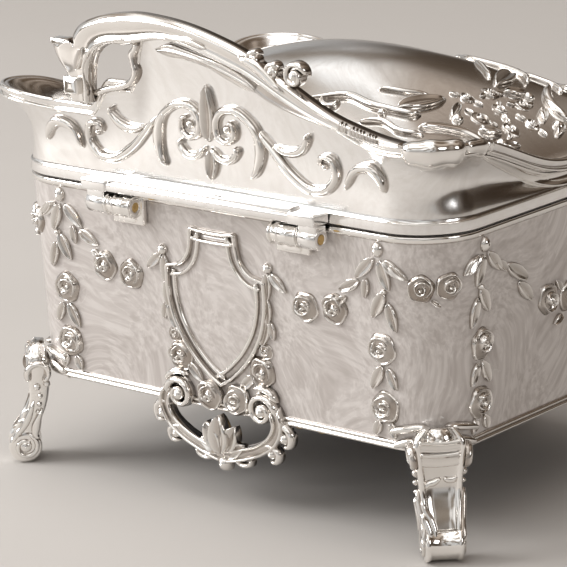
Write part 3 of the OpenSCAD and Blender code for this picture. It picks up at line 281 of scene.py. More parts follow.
def outward(V, quads, tris):
    """Turns a closed skin over where its signed volume is negative."""
    t = np.vstack([quads[:, :3], quads[:, [0, 2, 3]], tris])
    a, b, c = V[t[:, 0]], V[t[:, 1]], V[t[:, 2]]
    if np.einsum("ij,ij->i", a, np.cross(b, c)).sum() < 0:
        quads, tris = quads[:, ::-1], tris[:, ::-1]
    return quads, tris


class Pile:
    """Collects skins into one mesh, with a value from 0 in the recesses to 1 on the crests of the relief,
    which the silver finish turns into painted shade."""

    def __init__(self):
        self.V, self.Q, self.T, self.R, self.count = [], [], [], [], 0

    def add(self, P, place=None, relief=None, closed_u=False):
        """Adds a grid of points, laid on the object by place."""
        R = np.ones(P.shape[:2]) if relief is None else relief
        if place is not None:
            P = place(P)
        V, Q, T = skin(P, closed_u)
        R = np.concatenate([R.ravel(), [R[0].mean(), R[-1].mean()][:len(V) - R.size]])
        Q, T = outward(V, Q, T)
        self.V.append(V)
        self.Q.append(Q + self.count)
        self.T.append(T + self.count)
        self.R.append(R)
        self.count += len(V)
        return self

    def lay(self, shape, place=None):
        """Adds a shape, which is its points and their relief."""
        return self.add(shape[0], place, shape[1])

    def arrays(self):
        """All the skins joined: points, quads, triangles and relief."""
        return np.vstack(self.V), np.vstack(self.Q), np.vstack(self.T), np.concatenate(self.R)


def put(name, pile, body, material, stands_for=()):
    """Makes the collected skins one object that rides on a CAD body."""
    V, Q, T, R = pile.arrays()
    mesh = bpy.data.meshes.new(name)
    mesh.vertices.add(len(V))
    mesh.vertices.foreach_set("co", (V * MM).astype(np.float32).ravel())
    loops = np.concatenate([Q.ravel(), T.ravel()]).astype(np.int32)
    mesh.loops.add(len(loops))
    mesh.loops.foreach_set("vertex_index", loops)
    starts = np.concatenate([np.arange(len(Q)) * 4, len(Q) * 4 + np.arange(len(T)) * 3]).astype(np.int32)
    mesh.polygons.add(len(starts))
    mesh.polygons.foreach_set("loop_start", starts)
    mesh.update(calc_edges=True)
    mesh.validate()
    mesh.polygons.foreach_set("use_smooth", np.full(len(mesh.polygons), True))
    # relief per point, read by the silver finish to paint shade where it is low
    relief = mesh.attributes.new("relief", "FLOAT", "POINT")
    relief.data.foreach_set("value", R.astype(np.float32))
    obj = bpy.data.objects.new(name, mesh)
    bpy.context.scene.collection.objects.link(obj)
    obj.data.materials.append(material)
    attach(obj, body)
    if stands_for:
        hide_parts(*stands_for)
    return obj


# ======== ornament ========
SUNK = -0.25          # how far an ornament's back lies in the wall


def strand(path, height=0.8, m=9, power=0.8, sunk=SUNK):
    """Raised line on a wall: half an oval carried along a flat path [x, y, half width], thin at both
    ends."""
    path = np.asarray(path, float)
    side = sides_of(path)
    n = len(path)
    t = np.linspace(0, 1, n)
    ends = np.clip(np.minimum(t, 1 - t) * n / 3, 0, 1) ** 0.5
    w, h = path[:, 2] * (0.25 + 0.75 * ends), height * (0.2 + 0.8 * ends)
    a = np.linspace(0, np.pi, m)
    across = np.concatenate([np.cos(a), [-0.9, 0.9]])
    up = np.concatenate([np.sin(a) ** power, [0, 0]])
    # relief: zero at the edges and the back, where the silver finish paints shade
    rel = np.concatenate([np.sin(a), [0, 0]])
    xy = path[:, None, :2] + side[:, None, :] * (w[:, None] * across[None, :])[..., None]
    z = h[:, None] * up[None, :] + np.where(np.arange(m + 2) >= m, sunk, 0)[None, :]
    z[:, [0, m - 1]] = min(0, sunk / 2)
    return np.concatenate([xy, z[..., None]], -1), np.broadcast_to(rel, (n, m + 2)) * 1.0


def leaf(a, b, width, height=1.3, n=13):
    """Leaf from a to b: its half width is one minus s squared to the power 0.75, widest nearer to a, and
    its two halves fall from a rolled rim to a crease along the middle."""
    a, b = np.asarray(a, float), np.asarray(b, float)
    along = (b - a) / 2
    side = np.array([-along[1], along[0]]) / np.linalg.norm(along)
    s = np.linspace(-1, 1, n)[:, None]
    t = np.array([1, 0.97, 0.86, 0.7, 0.35, 0.08, -0.08, -0.35, -0.7, -0.86, -0.97, -1])[None, :]
    half = width / 2 * np.maximum(1 - s ** 2, 0.004) ** 0.75 * (1 - 0.2 * s)
    rim = np.sqrt(1 - np.clip((abs(t) - 0.8) / 0.2, 0, 1) ** 2)
    fold = 0.4 + 0.6 * abs(t) ** 1.2
    z = height * (0.3 + 0.7 * np.maximum(1 - s ** 4, 0) ** 0.5) * rim * fold
    across = np.hstack([half * t, half * [[-0.9, 0.9]]])
    z = np.hstack([z, np.full((n, 2), SUNK)])
    # relief: low in the crease and at the edge, where the silver finish paints the shade that outlines the
    # leaf
    rel = np.hstack([0 * s + rim * (fold - 0.3) / 0.6, np.zeros((n, 2))])
    xy = (a + b) / 2 + along * s[..., None] + side * across[..., None]
    return np.concatenate([xy, z[..., None]], -1), rel.clip(0, 1)


ROSE_CUPS = [(0.07, -0.12, 0.84, 0.62, 0.105, 4.6), (-0.10, 0.08, 0.72, 0.74, 0.10, 1.5),
             (0.03, 0.10, 0.50, 0.90, 0.085, 3.2), (0.02, -0.06, 0.32, 1.0, 0.075, 0.2)]


def rose(centre, radius, height=2.8, turn=0.0, n=22, m=40):
    """Rose: nested cups round a ball. Each cup is a ridge, e to the minus square of the distance from an
    off-centre circle, highest on the side that its angle names. The skin is the highest of the ridges,
    the ball and a low dome."""
    r = np.linspace(0, 1, n)[:, None]
    a = np.linspace(0, TAU, m, endpoint=False)[None, :]
    x, y = r * np.cos(a), r * np.sin(a)
    low = 0.16 + 0.26 * (1 - r ** 2)
    top = low + 0 * a
    for cx, cy, ring, high, w, face in ROSE_CUPS:
        away = np.hypot(x - cx, y - cy)
        side = 0.62 + 0.38 * np.cos(np.arctan2(y - cy, x - cx) - face)
        top = np.maximum(top, high * side * bell(away - ring, w) + 0 * a)
    top = np.maximum(top, 1.02 * np.sqrt(np.maximum(1 - (np.hypot(x - 0.02, y + 0.02) / 0.17) ** 2, 0)))
    z = height * top * np.sqrt(np.maximum(1 - r ** 7, 0))
    # relief: low between the cups, where the silver finish paints shade
    rel = ((top - low) / 0.42).clip(0, 1)
    scallop = radius * (1 + 0.045 * np.cos(5 * a) * r ** 2)
    c, d = math.cos(turn), math.sin(turn)
    x, y = scallop * (c * x - d * y), scallop * (d * x + c * y)
    x, y = np.vstack([x, x[-1:] * 0.92]), np.vstack([y, y[-1:] * 0.92])
    z, rel = np.vstack([z, np.full((1, m), SUNK)]), np.vstack([rel, np.zeros((1, m))])
    return np.stack([centre[0] + x, centre[1] + y, z], -1), rel


def bead(centre, rx, ry, rz=None, n=8, m=16):
    """Bead: the near half of an ellipsoid and a flat back."""
    rz = rz or min(rx, ry)
    a = np.linspace(0.0, 0.5, n)[:, None] * np.pi
    b = np.linspace(0, TAU, m, endpoint=False)[None, :]
    x, y, z = rx * np.sin(a) * np.cos(b), ry * np.sin(a) * np.sin(b), rz * np.cos(a) + 0 * b
    x, y = np.vstack([x, x[-1:] * 0.9]), np.vstack([y, y[-1:] * 0.9])
    z = np.vstack([z, np.full((1, m), SUNK)])
    # relief: lower towards the wall, where the silver finish paints shade
    return np.stack([centre[0] + x, centre[1] + y, z], -1), (0.35 + 0.65 * z / rz).clip(0, 1)


def raised(shape, lift, back=0.0):
    """Lifts a shape off its wall by lift, and keeps its back at a height of its own."""
    P, rel = shape
    P = P + [0, 0, lift]
    P[..., 2] = np.where(P[..., 2] < lift - 0.2, back, P[..., 2])
    return P, rel


# ---- garlands: x out from the middle of the drop towards the corner, and how far below the seam ----
DROP = {"beads": [(0, 4, 1.6, 2.0), (1.5, 14.2, 0.8, 0.8)],
        "leaves": [((-1.3, 6.2), (-7, 12), 3.2), ((1.8, 6.2), (6.6, 10.4), 2.8),
                   ((0.4, 6.4), (3.0, 14), 3.2), ((1.4, 14.4), (-2.4, 21.4), 3.5),
                   ((2.4, 16.8), (4.6, 24.2), 2.9), ((-0.2, 33.2), (-3.6, 39.6), 3.1),
                   ((1.6, 33.4), (4.0, 39), 2.7), ((-1.8, 47.4), (-3.1, 51.4), 2.6),
                   ((1.8, 47.4), (3.0, 51.4), 2.6)],
        "roses": [(0, 29, 1.0), (0.2, 43.8, 1.02)]}
SWAG = {"leaves": [((-6.0, 12.6), (-12.4, 16), 3.1), ((-3.8, 11.6), (-4.4, 16.8), 2.1),
                   ((-10.2, 17.2), (-13.4, 19.6), 2.0)],
        "roses": [(-14.2, 21.0, 0.96), (-23.2, 22.0, 0.96)]}
SHIELD_DROP = {"beads": [(0.8, 13.7, 1.5, 1.5)],
               "leaves": [((1.4, 14.9), (6.4, 19.4), 2.7), ((0.4, 15), (0.2, 22.4), 2.7),
                          ((0, 21.6), (0, 28.8), 2.7), ((-0.2, 28), (-2.5, 34.6), 2.9),
                          ((0.9, 27.6), (1.6, 32.4), 1.9), ((-5.6, 42.6), (-10.2, 47.4), 2.9),
                          ((-2.2, 46.2), (-6.2, 49.6), 2.2)],
               "roses": [(-1.4, 35.8, 0.52), (-3.0, 41.4, 1.0)]}
SIDE_SWAG = {"leaves": [((-9.5, 11.2), (-18.6, 16.8), 3.7), ((-14.6, 16.8), (-20.8, 22.8), 3.4),
                        ((-5.2, 9.2), (-9.6, 12.6), 2.4)],
             "roses": [(-27.8, 24.2, 0.96)]}
CORNER_ROSES = [(-3.5, 12.8, 0.84), (3.6, 12.5, 0.84)]
ROSE_R, ROSE_OUT = 4.2, 2.7


def garland(pile, place, x0, sx, beads=(), leaves=(), roses=()):
    """Lays one pattern at x0, mirrored by sx. Beads are (x, down, half width, half height), leaves (from,
    to, width) and roses (x, down, share of the radius)."""
    for x, down, rx, ry in beads:
        pile.lay(bead((x0 + sx * x, -down), rx, ry, 1.7), place)
    for a, b, width in leaves:
        pile.lay(leaf((x0 + sx * a[0], -a[1]), (x0 + sx * b[0], -b[1]), width), place)
    for x, down, share in roses:
        pile.lay(rose((x0 + sx * x, -down), ROSE_R * share, ROSE_OUT * share, 0.9 * sx * down), place)


# ======== finishes ========
def new_group(name, inputs, outputs):
    """Shader node group with named sockets: inputs (name, kind, default), outputs (name, kind)."""
    g = bpy.data.node_groups.new(name, "ShaderNodeTree")
    for label, kind, value in inputs:
        s = g.interface.new_socket(label, in_out="INPUT", socket_type=kind)
        s.default_value = value
    for label, kind in outputs:
        g.interface.new_socket(label, in_out="OUTPUT", socket_type=kind)
    return g, g.nodes.new("NodeGroupInput"), g.nodes.new("NodeGroupOutput")


def wire(tree, *pairs):
    """Links each pair of sockets, from the first to the second."""
    for a, b in pairs:
        tree.links.new(a, b)


def add(tree, kind, **values):
    """A node with its properties and socket defaults set by name, spaces written as underscores."""
    node = tree.nodes.new(kind)
    for key, value in values.items():
        label = key.replace("_", " ")
        if hasattr(node, key):
            setattr(node, key, value)
        else:
            next(s for s in node.inputs if s.name.lower() == label.lower()).default_value = value
    return node


def ramp(tree, stops):
    """Colour ramp through (place, grey level or colour) stops."""
    node = tree.nodes.new("ShaderNodeValToRGB")
    e = node.color_ramp.elements
    while len(e) < len(stops):
        e.new(0.5)
    for el, (place, value) in zip(e, stops):
        el.position = place
        el.color = (value, value, value, 1) if isinstance(value, (int, float)) else (*value, 1)
    return node


def mix_colour(tree, fac, a, b, mode="MIX"):
    """Mixes two colours; any of the three may be a socket or a value."""
    node = tree.nodes.new("ShaderNodeMix")
    node.data_type = "RGBA"
    node.blend_type = mode
    node.clamp_factor = True
    for socket, value in ((node.inputs[0], fac), (node.inputs[6], a), (node.inputs[7], b)):
        if isinstance(value, bpy.types.NodeSocket):
            tree.links.new(value, socket)
        elif isinstance(value, (int, float)):
            socket.default_value = value
        else:
            socket.default_value = (*value[:3], 1)
    return node.outputs[2]


def maths(tree, op, a, b=0.5, c=0.5):
    """Output of a Math node; its operands may be sockets or values."""
    node = tree.nodes.new("ShaderNodeMath")
    node.operation = op
    for socket, value in zip(node.inputs, (a, b, c)):
        if isinstance(value, bpy.types.NodeSocket):
            tree.links.new(value, socket)
        else:
            socket.default_value = value
    return node.outputs[0]


def noise(tree, vector, scale, detail=3.0, rough=0.5, distortion=0.0):
    """Level of a noise texture read at the vector."""
    node = add(tree, "ShaderNodeTexNoise", Scale=scale, Detail=detail, Roughness=rough, Distortion=distortion)
    tree.links.new(vector, node.inputs["Vector"])
    return node.outputs["Fac"]


def dotted(tree, vector, direction, per_metre):
    """Place along a direction, counted in waves."""
    node = add(tree, "ShaderNodeVectorMath", operation="DOT_PRODUCT")
    node.inputs[1].default_value = tuple(x * per_metre for x in direction)
    tree.links.new(vector, node.inputs[0])
    return node.outputs["Value"]


def pearl_group():
    """Curved strokes. Slow noise pushes every place aside; fine noise is then read with places stretched
    fourteen times along a slanting direction, so that it draws long strokes that bend, and thin pale
    lines run where it crosses one half."""
    g, i, o = new_group("pearl_swirl", [("Vector", "NodeSocketVector", (0, 0, 0)),
                                        ("Deep", "NodeSocketColor", (0.5, 0.45, 0.4, 1)),
                                        ("Pearl", "NodeSocketColor", (0.8, 0.76, 0.7, 1)),
                                        ("Lines", "NodeSocketFloat", 0.3)],
                        [("Color", "NodeSocketColor"), ("Roughness", "NodeSocketFloat"),
                         ("Height", "NodeSocketFloat")])
    push = add(g, "ShaderNodeTexNoise", Scale=26.0, Detail=1.0, Roughness=0.4)
    centred = add(g, "ShaderNodeVectorMath", operation="SUBTRACT")
    centred.inputs[1].default_value = (0.5, 0.5, 0.5)
    scaled = add(g, "ShaderNodeVectorMath", operation="SCALE")
    scaled.inputs["Scale"].default_value = 0.05
    moved = add(g, "ShaderNodeVectorMath", operation="ADD")
    wire(g, (i.outputs["Vector"], push.inputs["Vector"]), (push.outputs["Color"], centred.inputs[0]),
         (centred.outputs[0], scaled.inputs[0]),
         (scaled.outputs[0], moved.inputs[0]), (i.outputs["Vector"], moved.inputs[1]))
    masks = []
    for along, across, over, fine in (((0.5, -0.5, 0.7), (0.5, -0.5, -0.7), (0.7, 0.7, 0.0), 620.0),
                                      ((0.25, -0.3, 0.92), (0.68, -0.62, -0.4), (0.7, 0.7, 0.1), 260.0)):
        place = g.nodes.new("ShaderNodeCombineXYZ")
        wire(g, (dotted(g, moved.outputs[0], along, fine / 14), place.inputs[0]),
             (dotted(g, moved.outputs[0], across, fine), place.inputs[1]),
             (dotted(g, moved.outputs[0], over, fine), place.inputs[2]))
        masks.append(noise(g, place.outputs[0], 1.0, 3.0, 0.55, 0.25))
    strokes = ramp(g, [(0.34, 0.0), (0.48, 0.45), (0.60, 1.0)])
    wire(g, (masks[0], strokes.inputs[0]))
    broad = ramp(g, [(0.36, 0.0), (0.64, 1.0)])
    wire(g, (masks[1], broad.inputs[0]))
    line = ramp(g, [(0.0, 1.0), (0.022, 0.0)])
    wire(g, (maths(g, "ABSOLUTE", maths(g, "SUBTRACT", masks[1], 0.5)), line.inputs[0]))
    both = maths(g, "MULTIPLY_ADD", broad.outputs[0], 0.4, maths(g, "MULTIPLY", strokes.outputs[0], 0.6))
    both = maths(g, "MULTIPLY_ADD", line.outputs[0], i.outputs["Lines"], both)
    colour = mix_colour(g, both, i.outputs["Deep"], i.outputs["Pearl"])
    wire(g, (colour, o.inputs["Color"]), (both, o.inputs["Roughness"]), (both, o.inputs["Height"]))
    return g


def plate_group():
    """Silver plate: bright on the crests of the relief, and a shade darker and warmer where the relief is
    low, which is painted shade in the recesses and partly tarnish, its strength varied by slow noise. Gives
    the colour, roughness and a faint hammered height."""
    g, i, o = new_group("plate_tarnish_and_painted_shade", [("Vector", "NodeSocketVector", (0, 0, 0)),
                                       ("Relief", "NodeSocketFloat", 1.0),
                                       ("Bright", "NodeSocketColor", (0.9, 0.88, 0.84, 1)),
                                       ("Shade", "NodeSocketColor", (0.4, 0.35, 0.28, 1)),
                                       ("Depth", "NodeSocketFloat", 0.6), ("Polish", "NodeSocketFloat", 0.1)],
                        [("Color", "NodeSocketColor"), ("Roughness", "NodeSocketFloat"),
                         ("Height", "NodeSocketFloat")])
    slow = noise(g, i.outputs["Vector"], 90.0, 3.0, 0.6)
    fine = noise(g, i.outputs["Vector"], 700.0, 4.0, 0.6)
    low = maths(g, "SUBTRACT", 1.0, i.outputs["Relief"])
    shade = maths(g, "MULTIPLY", low, i.outputs["Depth"])
    patch = ramp(g, [(0.3, 0.55), (0.7, 1.0)])
    wire(g, (slow, patch.inputs[0]))
    mask = maths(g, "MULTIPLY", shade, patch.outputs[0])
    # painted shade: low relief mixes the plate towards the dark Shade colour, partly as tarnish in the
    # recesses
    colour = mix_colour(g, mask, i.outputs["Bright"], i.outputs["Shade"])
    rough = maths(g, "ADD", maths(g, "MULTIPLY_ADD", mask, 0.25, i.outputs["Polish"]),
                  maths(g, "MULTIPLY", fine, 0.05))
    wire(g, (colour, o.inputs["Color"]), (rough, o.inputs["Roughness"]),
         (maths(g, "ADD", slow, maths(g, "MULTIPLY", fine, 0.2)), o.inputs["Height"]))
    return g


def nap_group():
    """Short pile: fine noise for the fibres over slow noise for where the pile has been brushed."""
    g, i, o = new_group("cloth_nap", [("Vector", "NodeSocketVector", (0, 0, 0)),
                                      ("Cloth", "NodeSocketColor", (0.8, 0.7, 0.6, 1)),
                                      ("Brushed", "NodeSocketColor", (0.9, 0.85, 0.8, 1)),
                                      ("Fibre", "NodeSocketFloat", 2500.0)],
                        [("Color", "NodeSocketColor"), ("Height", "NodeSocketFloat")])
    slow = noise(g, i.outputs["Vector"], 70.0, 4.0, 0.6, 0.8)
    fibre = add(g, "ShaderNodeTexNoise", Detail=2.0, Roughness=0.6)
    wire(g, (i.outputs["Vector"], fibre.inputs["Vector"]), (i.outputs["Fibre"], fibre.inputs["Scale"]))
    mask = ramp(g, [(0.38, 0.0), (0.62, 1.0)])
    wire(g, (slow, mask.inputs[0]))
    both = maths(g, "MULTIPLY_ADD", fibre.outputs["Fac"], 0.5, maths(g, "MULTIPLY", mask.outputs[0], 0.5))
    wire(g, (mix_colour(g, both, i.outputs["Cloth"], i.outputs["Brushed"]), o.inputs["Color"]),
         (fibre.outputs["Fac"], o.inputs["Height"]))
    return g


GROUPS = {}


def group(name):
    """The named node group, made when it is first asked for."""
    makers = {"pearl_swirl": pearl_group, "plate_tarnish_and_painted_shade": plate_group, "cloth_nap": nap_group}
    if name not in GROUPS:
        GROUPS[name] = makers[name]()
    return GROUPS[name]


def material(name):
    """A new node material: its tree, its Principled shader and its Object coordinates."""
    m = bpy.data.materials.new(name)
    m.use_nodes = True
    tree = m.node_tree
    shader = tree.nodes["Principled BSDF"]
    place = tree.nodes.new("ShaderNodeTexCoord").outputs["Object"]
    return m, tree, shader, place


def bump(tree, shader, height, strength=0.2, distance=0.0002):
    """Turns a height into the shader's normal."""
    node = add(tree, "ShaderNodeBump", Strength=strength, Distance=distance)
    wire(tree, (height, node.inputs["Height"]), (node.outputs["Normal"], shader.inputs["Normal"]))


def use(tree, name, vector, **values):
    """Puts a node group into a material, its inputs set to sockets or values by name."""
    node = tree.nodes.new("ShaderNodeGroup")
    node.node_tree = group(name)
    tree.links.new(vector, node.inputs["Vector"])
    for key, value in values.items():
        if isinstance(value, bpy.types.NodeSocket):
            tree.links.new(value, node.inputs[key])
        elif isinstance(value, (int, float)):
            node.inputs[key].default_value = value
        else:
            node.inputs[key].default_value = (*value[:3], 1)
    return node


def enamel(name, deep, pearl):
    """Pearl enamel under a clear coat, a shade glossier along the pale strokes."""
    m, t, b, place = material(name)
    g = use(t, "pearl_swirl", place, Deep=deep, Pearl=pearl)
    wire(t, (g.outputs["Color"], b.inputs["Base Color"]),
         (maths(t, "MULTIPLY_ADD", g.outputs["Roughness"], -0.12, 0.42), b.inputs["Roughness"]))
    b.inputs["Metallic"].default_value = 0.25
    b.inputs["Coat Weight"].default_value = 1.0
    b.inputs["Coat Roughness"].default_value = 0.04
    b.inputs["Coat IOR"].default_value = 1.6
    bump(t, b, g.outputs["Height"], 0.03, 0.0001)
    return m


def satin(name, dark, bright):
    """Polished plate with curved brush marks in its colour and its roughness."""
    m, t, b, place = material(name)
    g = use(t, "pearl_swirl", place, Deep=dark, Pearl=bright, Lines=0.2)
    wire(t, (g.outputs["Color"], b.inputs["Base Color"]),
         (maths(t, "MULTIPLY_ADD", g.outputs["Roughness"], -0.05, 0.19), b.inputs["Roughness"]))
    b.inputs["Metallic"].default_value = 1.0
    bump(t, b, g.outputs["Height"], 0.02, 0.0001)
    return m


def silver(name, bright, shade, depth=0.85, polish=0.05, attribute=True):
    """Silver plate with painted shade, partly tarnish, where the mesh's relief is low, or evenly bright where
    it has none.
    """
    m, t, b, place = material(name)
    values = dict(Bright=bright, Shade=shade, Depth=depth, Polish=polish)
    if attribute:
        values["Relief"] = add(t, "ShaderNodeAttribute", attribute_name="relief").outputs["Fac"]
    g = use(t, "plate_tarnish_and_painted_shade", place, **values)
    wire(t, (g.outputs["Color"], b.inputs["Base Color"]), (g.outputs["Roughness"], b.inputs["Roughness"]))
    b.inputs["Metallic"].default_value = 1.0
    bump(t, b, g.outputs["Height"], 0.05, 0.0003)
    return m


def cloth(name, colour, brushed, fibre=2600.0, sheen=0.6):
    """Velvet, felt or tulle: matt, with a sheen at grazing angles and a fibre bump."""
    m, t, b, place = material(name)
    g = use(t, "cloth_nap", place, Cloth=colour, Brushed=brushed, Fibre=fibre)
    wire(t, (g.outputs["Color"], b.inputs["Base Color"]))
    b.inputs["Roughness"].default_value = 0.9
    b.inputs["Sheen Weight"].default_value = sheen
    b.inputs["Sheen Roughness"].default_value = 0.35
    bump(t, b, g.outputs["Height"], 0.5, 0.0003)
    return m


def plain(name, colour, roughness=0.4, metallic=0.0, scale=300.0, vary=0.12, coat=0.0, stretch=(1, 1, 1)):
    """Painted, turned or polished surface: its colour and roughness drift with noise stretched along the
    work."""
    m, t, b, place = material(name)
    turned = add(t, "ShaderNodeMapping")
    turned.inputs["Scale"].default_value = stretch
    wire(t, (place, turned.inputs["Vector"]))
    f = noise(t, turned.outputs[0], scale, 4.0, 0.6)
    dark = tuple(c * (1 - vary) for c in colour)
    light = tuple(min(1, c * (1 + vary)) for c in colour)
    wire(t, (mix_colour(t, f, dark, light), b.inputs["Base Color"]),
         (maths(t, "MULTIPLY_ADD", f, 0.25, max(0.02, roughness - 0.12)), b.inputs["Roughness"]))
    b.inputs["Metallic"].default_value = metallic
    b.inputs["Coat Weight"].default_value = coat
    bump(t, b, f, 0.1, 0.0001)
    return m


# ======== case ========
def ring_rows(profile, place, count=420):
    """Rows of a moulding: for each point of the profile [out, height] a loop round the outline."""
    s = np.linspace(0, AROUND, count, endpoint=False)
    return np.stack([place(s, np.full(count, float(h)), np.full(count, float(o))) for o, h in profile])


def rounded(profile, r=0.25, n=3):
    """Rounds a closed profile's corners: n points of a short curve across each, no further than r from
    it."""
    p = np.asarray(profile, float)
    out = []
    for k in range(len(p)):
        a, b, c = p[k - 1], p[k], p[(k + 1) % len(p)]
        la, lc = np.linalg.norm(a - b), np.linalg.norm(c - b)
        u, v = b + (a - b) * min(r / max(la, 1e-6), 0.45), b + (c - b) * min(r / max(lc, 1e-6), 0.45)
        for t in np.linspace(0, 1, n):
            out.append(u * (1 - t) ** 2 + b * 2 * t * (1 - t) + v * t * t)
    return np.array(out)


def build_case_wall(mats):
    """Case wall: one profile, outside and inside, carried round the outline."""
    zs = np.linspace(FOOT_H + 2.2, SEAM - 2.0, 24)
    outer = [[0.35, FOOT_H], [0.4, FOOT_H + 0.5]] + [[0.0, z] for z in zs]
    outer += [[0.1, SEAM - 1.0], [0.1, SEAM - 0.25], [-0.2, SEAM]]
    inner = [[-WALL, SEAM], [-WALL, SEAM - 0.4]] + [[-WALL, z] for z in zs[::-1]] + [[-WALL, FOOT_H]]
    rows = ring_rows(rounded(outer + inner, 0.3, 2), case_at)
    pile = Pile().add(rows, closed_u=True)
    return put("case_wall", pile, "case", mats["enamel"], ["case_shell"])


def build_case_trim(mats, ridge, lip):
    """Silver mouldings: the lip under the seam, and the twin ridges along the bottom edge with a hollow
    between."""
    pile = Pile()
    b = FOOT_H
    twin = [[-0.2, b - 0.02], [0.45, b], [0.8, b + 0.12], [ridge, b + 0.45], [0.75, b + 0.8],
            [0.35, b + 0.98], [0.35, b + 1.2],
            [0.72, b + 1.35], [ridge - 0.05, b + 1.68], [0.7, b + 2.05], [0.15, b + 2.3], [-0.2, b + 2.3]]
    # relief per profile point: 0.05 in the hollow between the ridges, where the silver finish paints shade
    rel = np.array([0.2, 0.5, 0.8, 1, 0.8, 0.05, 0.05, 0.8, 1, 0.8, 0.3, 0])
    rows = ring_rows(twin, case_at)
    pile.add(rows, relief=np.repeat(rel[:, None], rows.shape[1], 1), closed_u=True)
    t = SEAM
    lips = [[-0.3, t - 1.9], [0.05, t - 1.85], [0.35, t - 1.55], [lip - 0.05, t - 1.2], [lip, t - 0.7],
            [lip - 0.08, t - 0.25], [0.35, t - 0.04],
            [-0.3, t - 0.01]]
    # relief per profile point: low at the lip's edges, where the silver finish paints shade
    rel = np.array([0, 0.3, 0.7, 1, 1, 1, 0.8, 0.3])
    rows = ring_rows(lips, case_at)
    pile.add(rows, relief=np.repeat(rel[:, None], rows.shape[1], 1), closed_u=True)
    return put("case_trim", pile, "case", mats["silver"])


# ======== lid ========
def build_lid_wall(mats):
    """Lid casting: inside of the dome, down to the flange, up the hollowed wall, over the rim, down into
    the valley and up the dome, as rings of points round the outline with a pole at each end."""
    count = 560
    s = np.linspace(0, AROUND, count, endpoint=False)
    p, n = plan(s)
    rise, off = rim_rise(p, n), rim_off(p, n)
    angle = np.arctan2(p[:, 1], p[:, 0])

    def ring(out, z):
        q, _ = plan(s, np.broadcast_to(out, s.shape))
        return np.concatenate([q, np.broadcast_to(z, s.shape)[:, None]], 1)

    def dome_ring(share, drop=0.0):
        r = dome_reach(angle, np.full(count, share))
        return np.stack([r * np.cos(angle), r * np.sin(angle),
                         np.full(count, SEAM + dome_height(share) - drop)], 1)

    deep = WALL + 2.2
    rows = [dome_ring(x, WALL) for x in np.linspace(0.03, 0.9, 12)]
    foot = SEAM + SEAM_GAP + 0.3
    rows += [ring(-deep, SEAM + VALLEY - 1.0), ring(-deep, foot + 0.3), ring(-deep + 0.3, foot)]
    top = SEAM + FLANGE_H
    rows += [ring(0.3, foot), ring(0.66, foot + 0.1), ring(0.72, foot + 0.3), ring(0.42, top - 0.25),
             ring(0.42, top - 0.1),
             ring(0.35, top), ring(0.1, top + 0.2)]
    rows += [lid_at(s, np.full(count, t)) for t in np.linspace(0, 1, 34)[1:]]
    rows += [ring(off + 0.45, SEAM + rise - 0.5), ring(off + 0.3, SEAM + rise + 0.1),
             ring(off - 0.5, SEAM + rise + 0.45),
             ring(off - 1.3, SEAM + rise + 0.45), ring(off - 2.1, SEAM + rise + 0.1),
             ring(off - 2.9, SEAM + rise - 0.8)]
    top = off - 2.9
    for t in np.linspace(0.12, 1, 12):
        fall = SEAM + rise - 0.8 + (VALLEY + 0.2 - rise + 0.8) * t
        rows.append(ring(top + (-DOME_IN - top) * t ** 0.8, fall))
    rows += [dome_ring(x) for x in np.linspace(0.985, 0.03, 46)]
    pile = Pile().add(np.stack(rows))
    return put("lid_wall", pile, "lid", mats["satin"], ["lid_casting"])


def round_loop(path, radius, m=10):
    """Round bar carried along a closed path: circles across it, m points each."""
    d = np.roll(path, -1, 0) - np.roll(path, 1, 0)
    d /= np.linalg.norm(d, axis=1, keepdims=True)
    side = np.cross(d, np.array([0.0, 0, 1]))
    side /= np.linalg.norm(side, axis=1, keepdims=True)
    v = np.cross(side, d)
    a = np.linspace(0, TAU, m, endpoint=False)
    r = np.broadcast_to(radius, (len(path),))[:, None, None]
    return path[:, None] + r * (side[:, None] * np.cos(a)[None, :, None]
                                + v[:, None] * np.sin(a)[None, :, None])


def bar(path, radius, m=10, up=(0, 0, 1), taper=0):
    """Round bar along an open path. taper points at each end thin it to a blunt tip."""
    path = np.asarray(path, float)
    d = np.gradient(path, axis=0)
    d /= np.maximum(np.linalg.norm(d, axis=1, keepdims=True), 1e-9)
    side = np.cross(d, np.asarray(up, float))
    side /= np.maximum(np.linalg.norm(side, axis=1, keepdims=True), 1e-9)
    v = np.cross(side, d)
    r = np.broadcast_to(radius, (len(path),)).astype(float).copy()
    if taper:
        k = np.arange(len(path))
        r *= np.clip((np.minimum(k, len(path) - 1 - k) + 0.35) / taper, 0, 1) ** 0.5
    a = np.linspace(0, TAU, m, endpoint=False)
    return path[:, None] + r[:, None, None] * (side[:, None] * np.cos(a)[None, :, None]
                                               + v[:, None] * np.sin(a)[None, :, None])


def strip(outer, inner, section, n=6):
    """Band between two curves of equally many points. The section's rows are [share from the outer curve,
    height]."""
    a, b = catmull(outer, n), catmull(inner, n)
    section = np.asarray(section, float)
    u = section[:, 0][None, :, None]
    xy = a[:, None] * (1 - u) + b[:, None] * u
    z = section[:, 1] + np.zeros((len(a), 1))
    # relief: lowest at the band's edges, where the silver finish paints shade
    rel = np.clip((section[:, 1] - section[:, 1].min()) / np.ptp(section[:, 1]), 0, 1) ** 2
    return np.concatenate([xy, z[..., None]], -1), np.broadcast_to(rel, z.shape) * 1.0


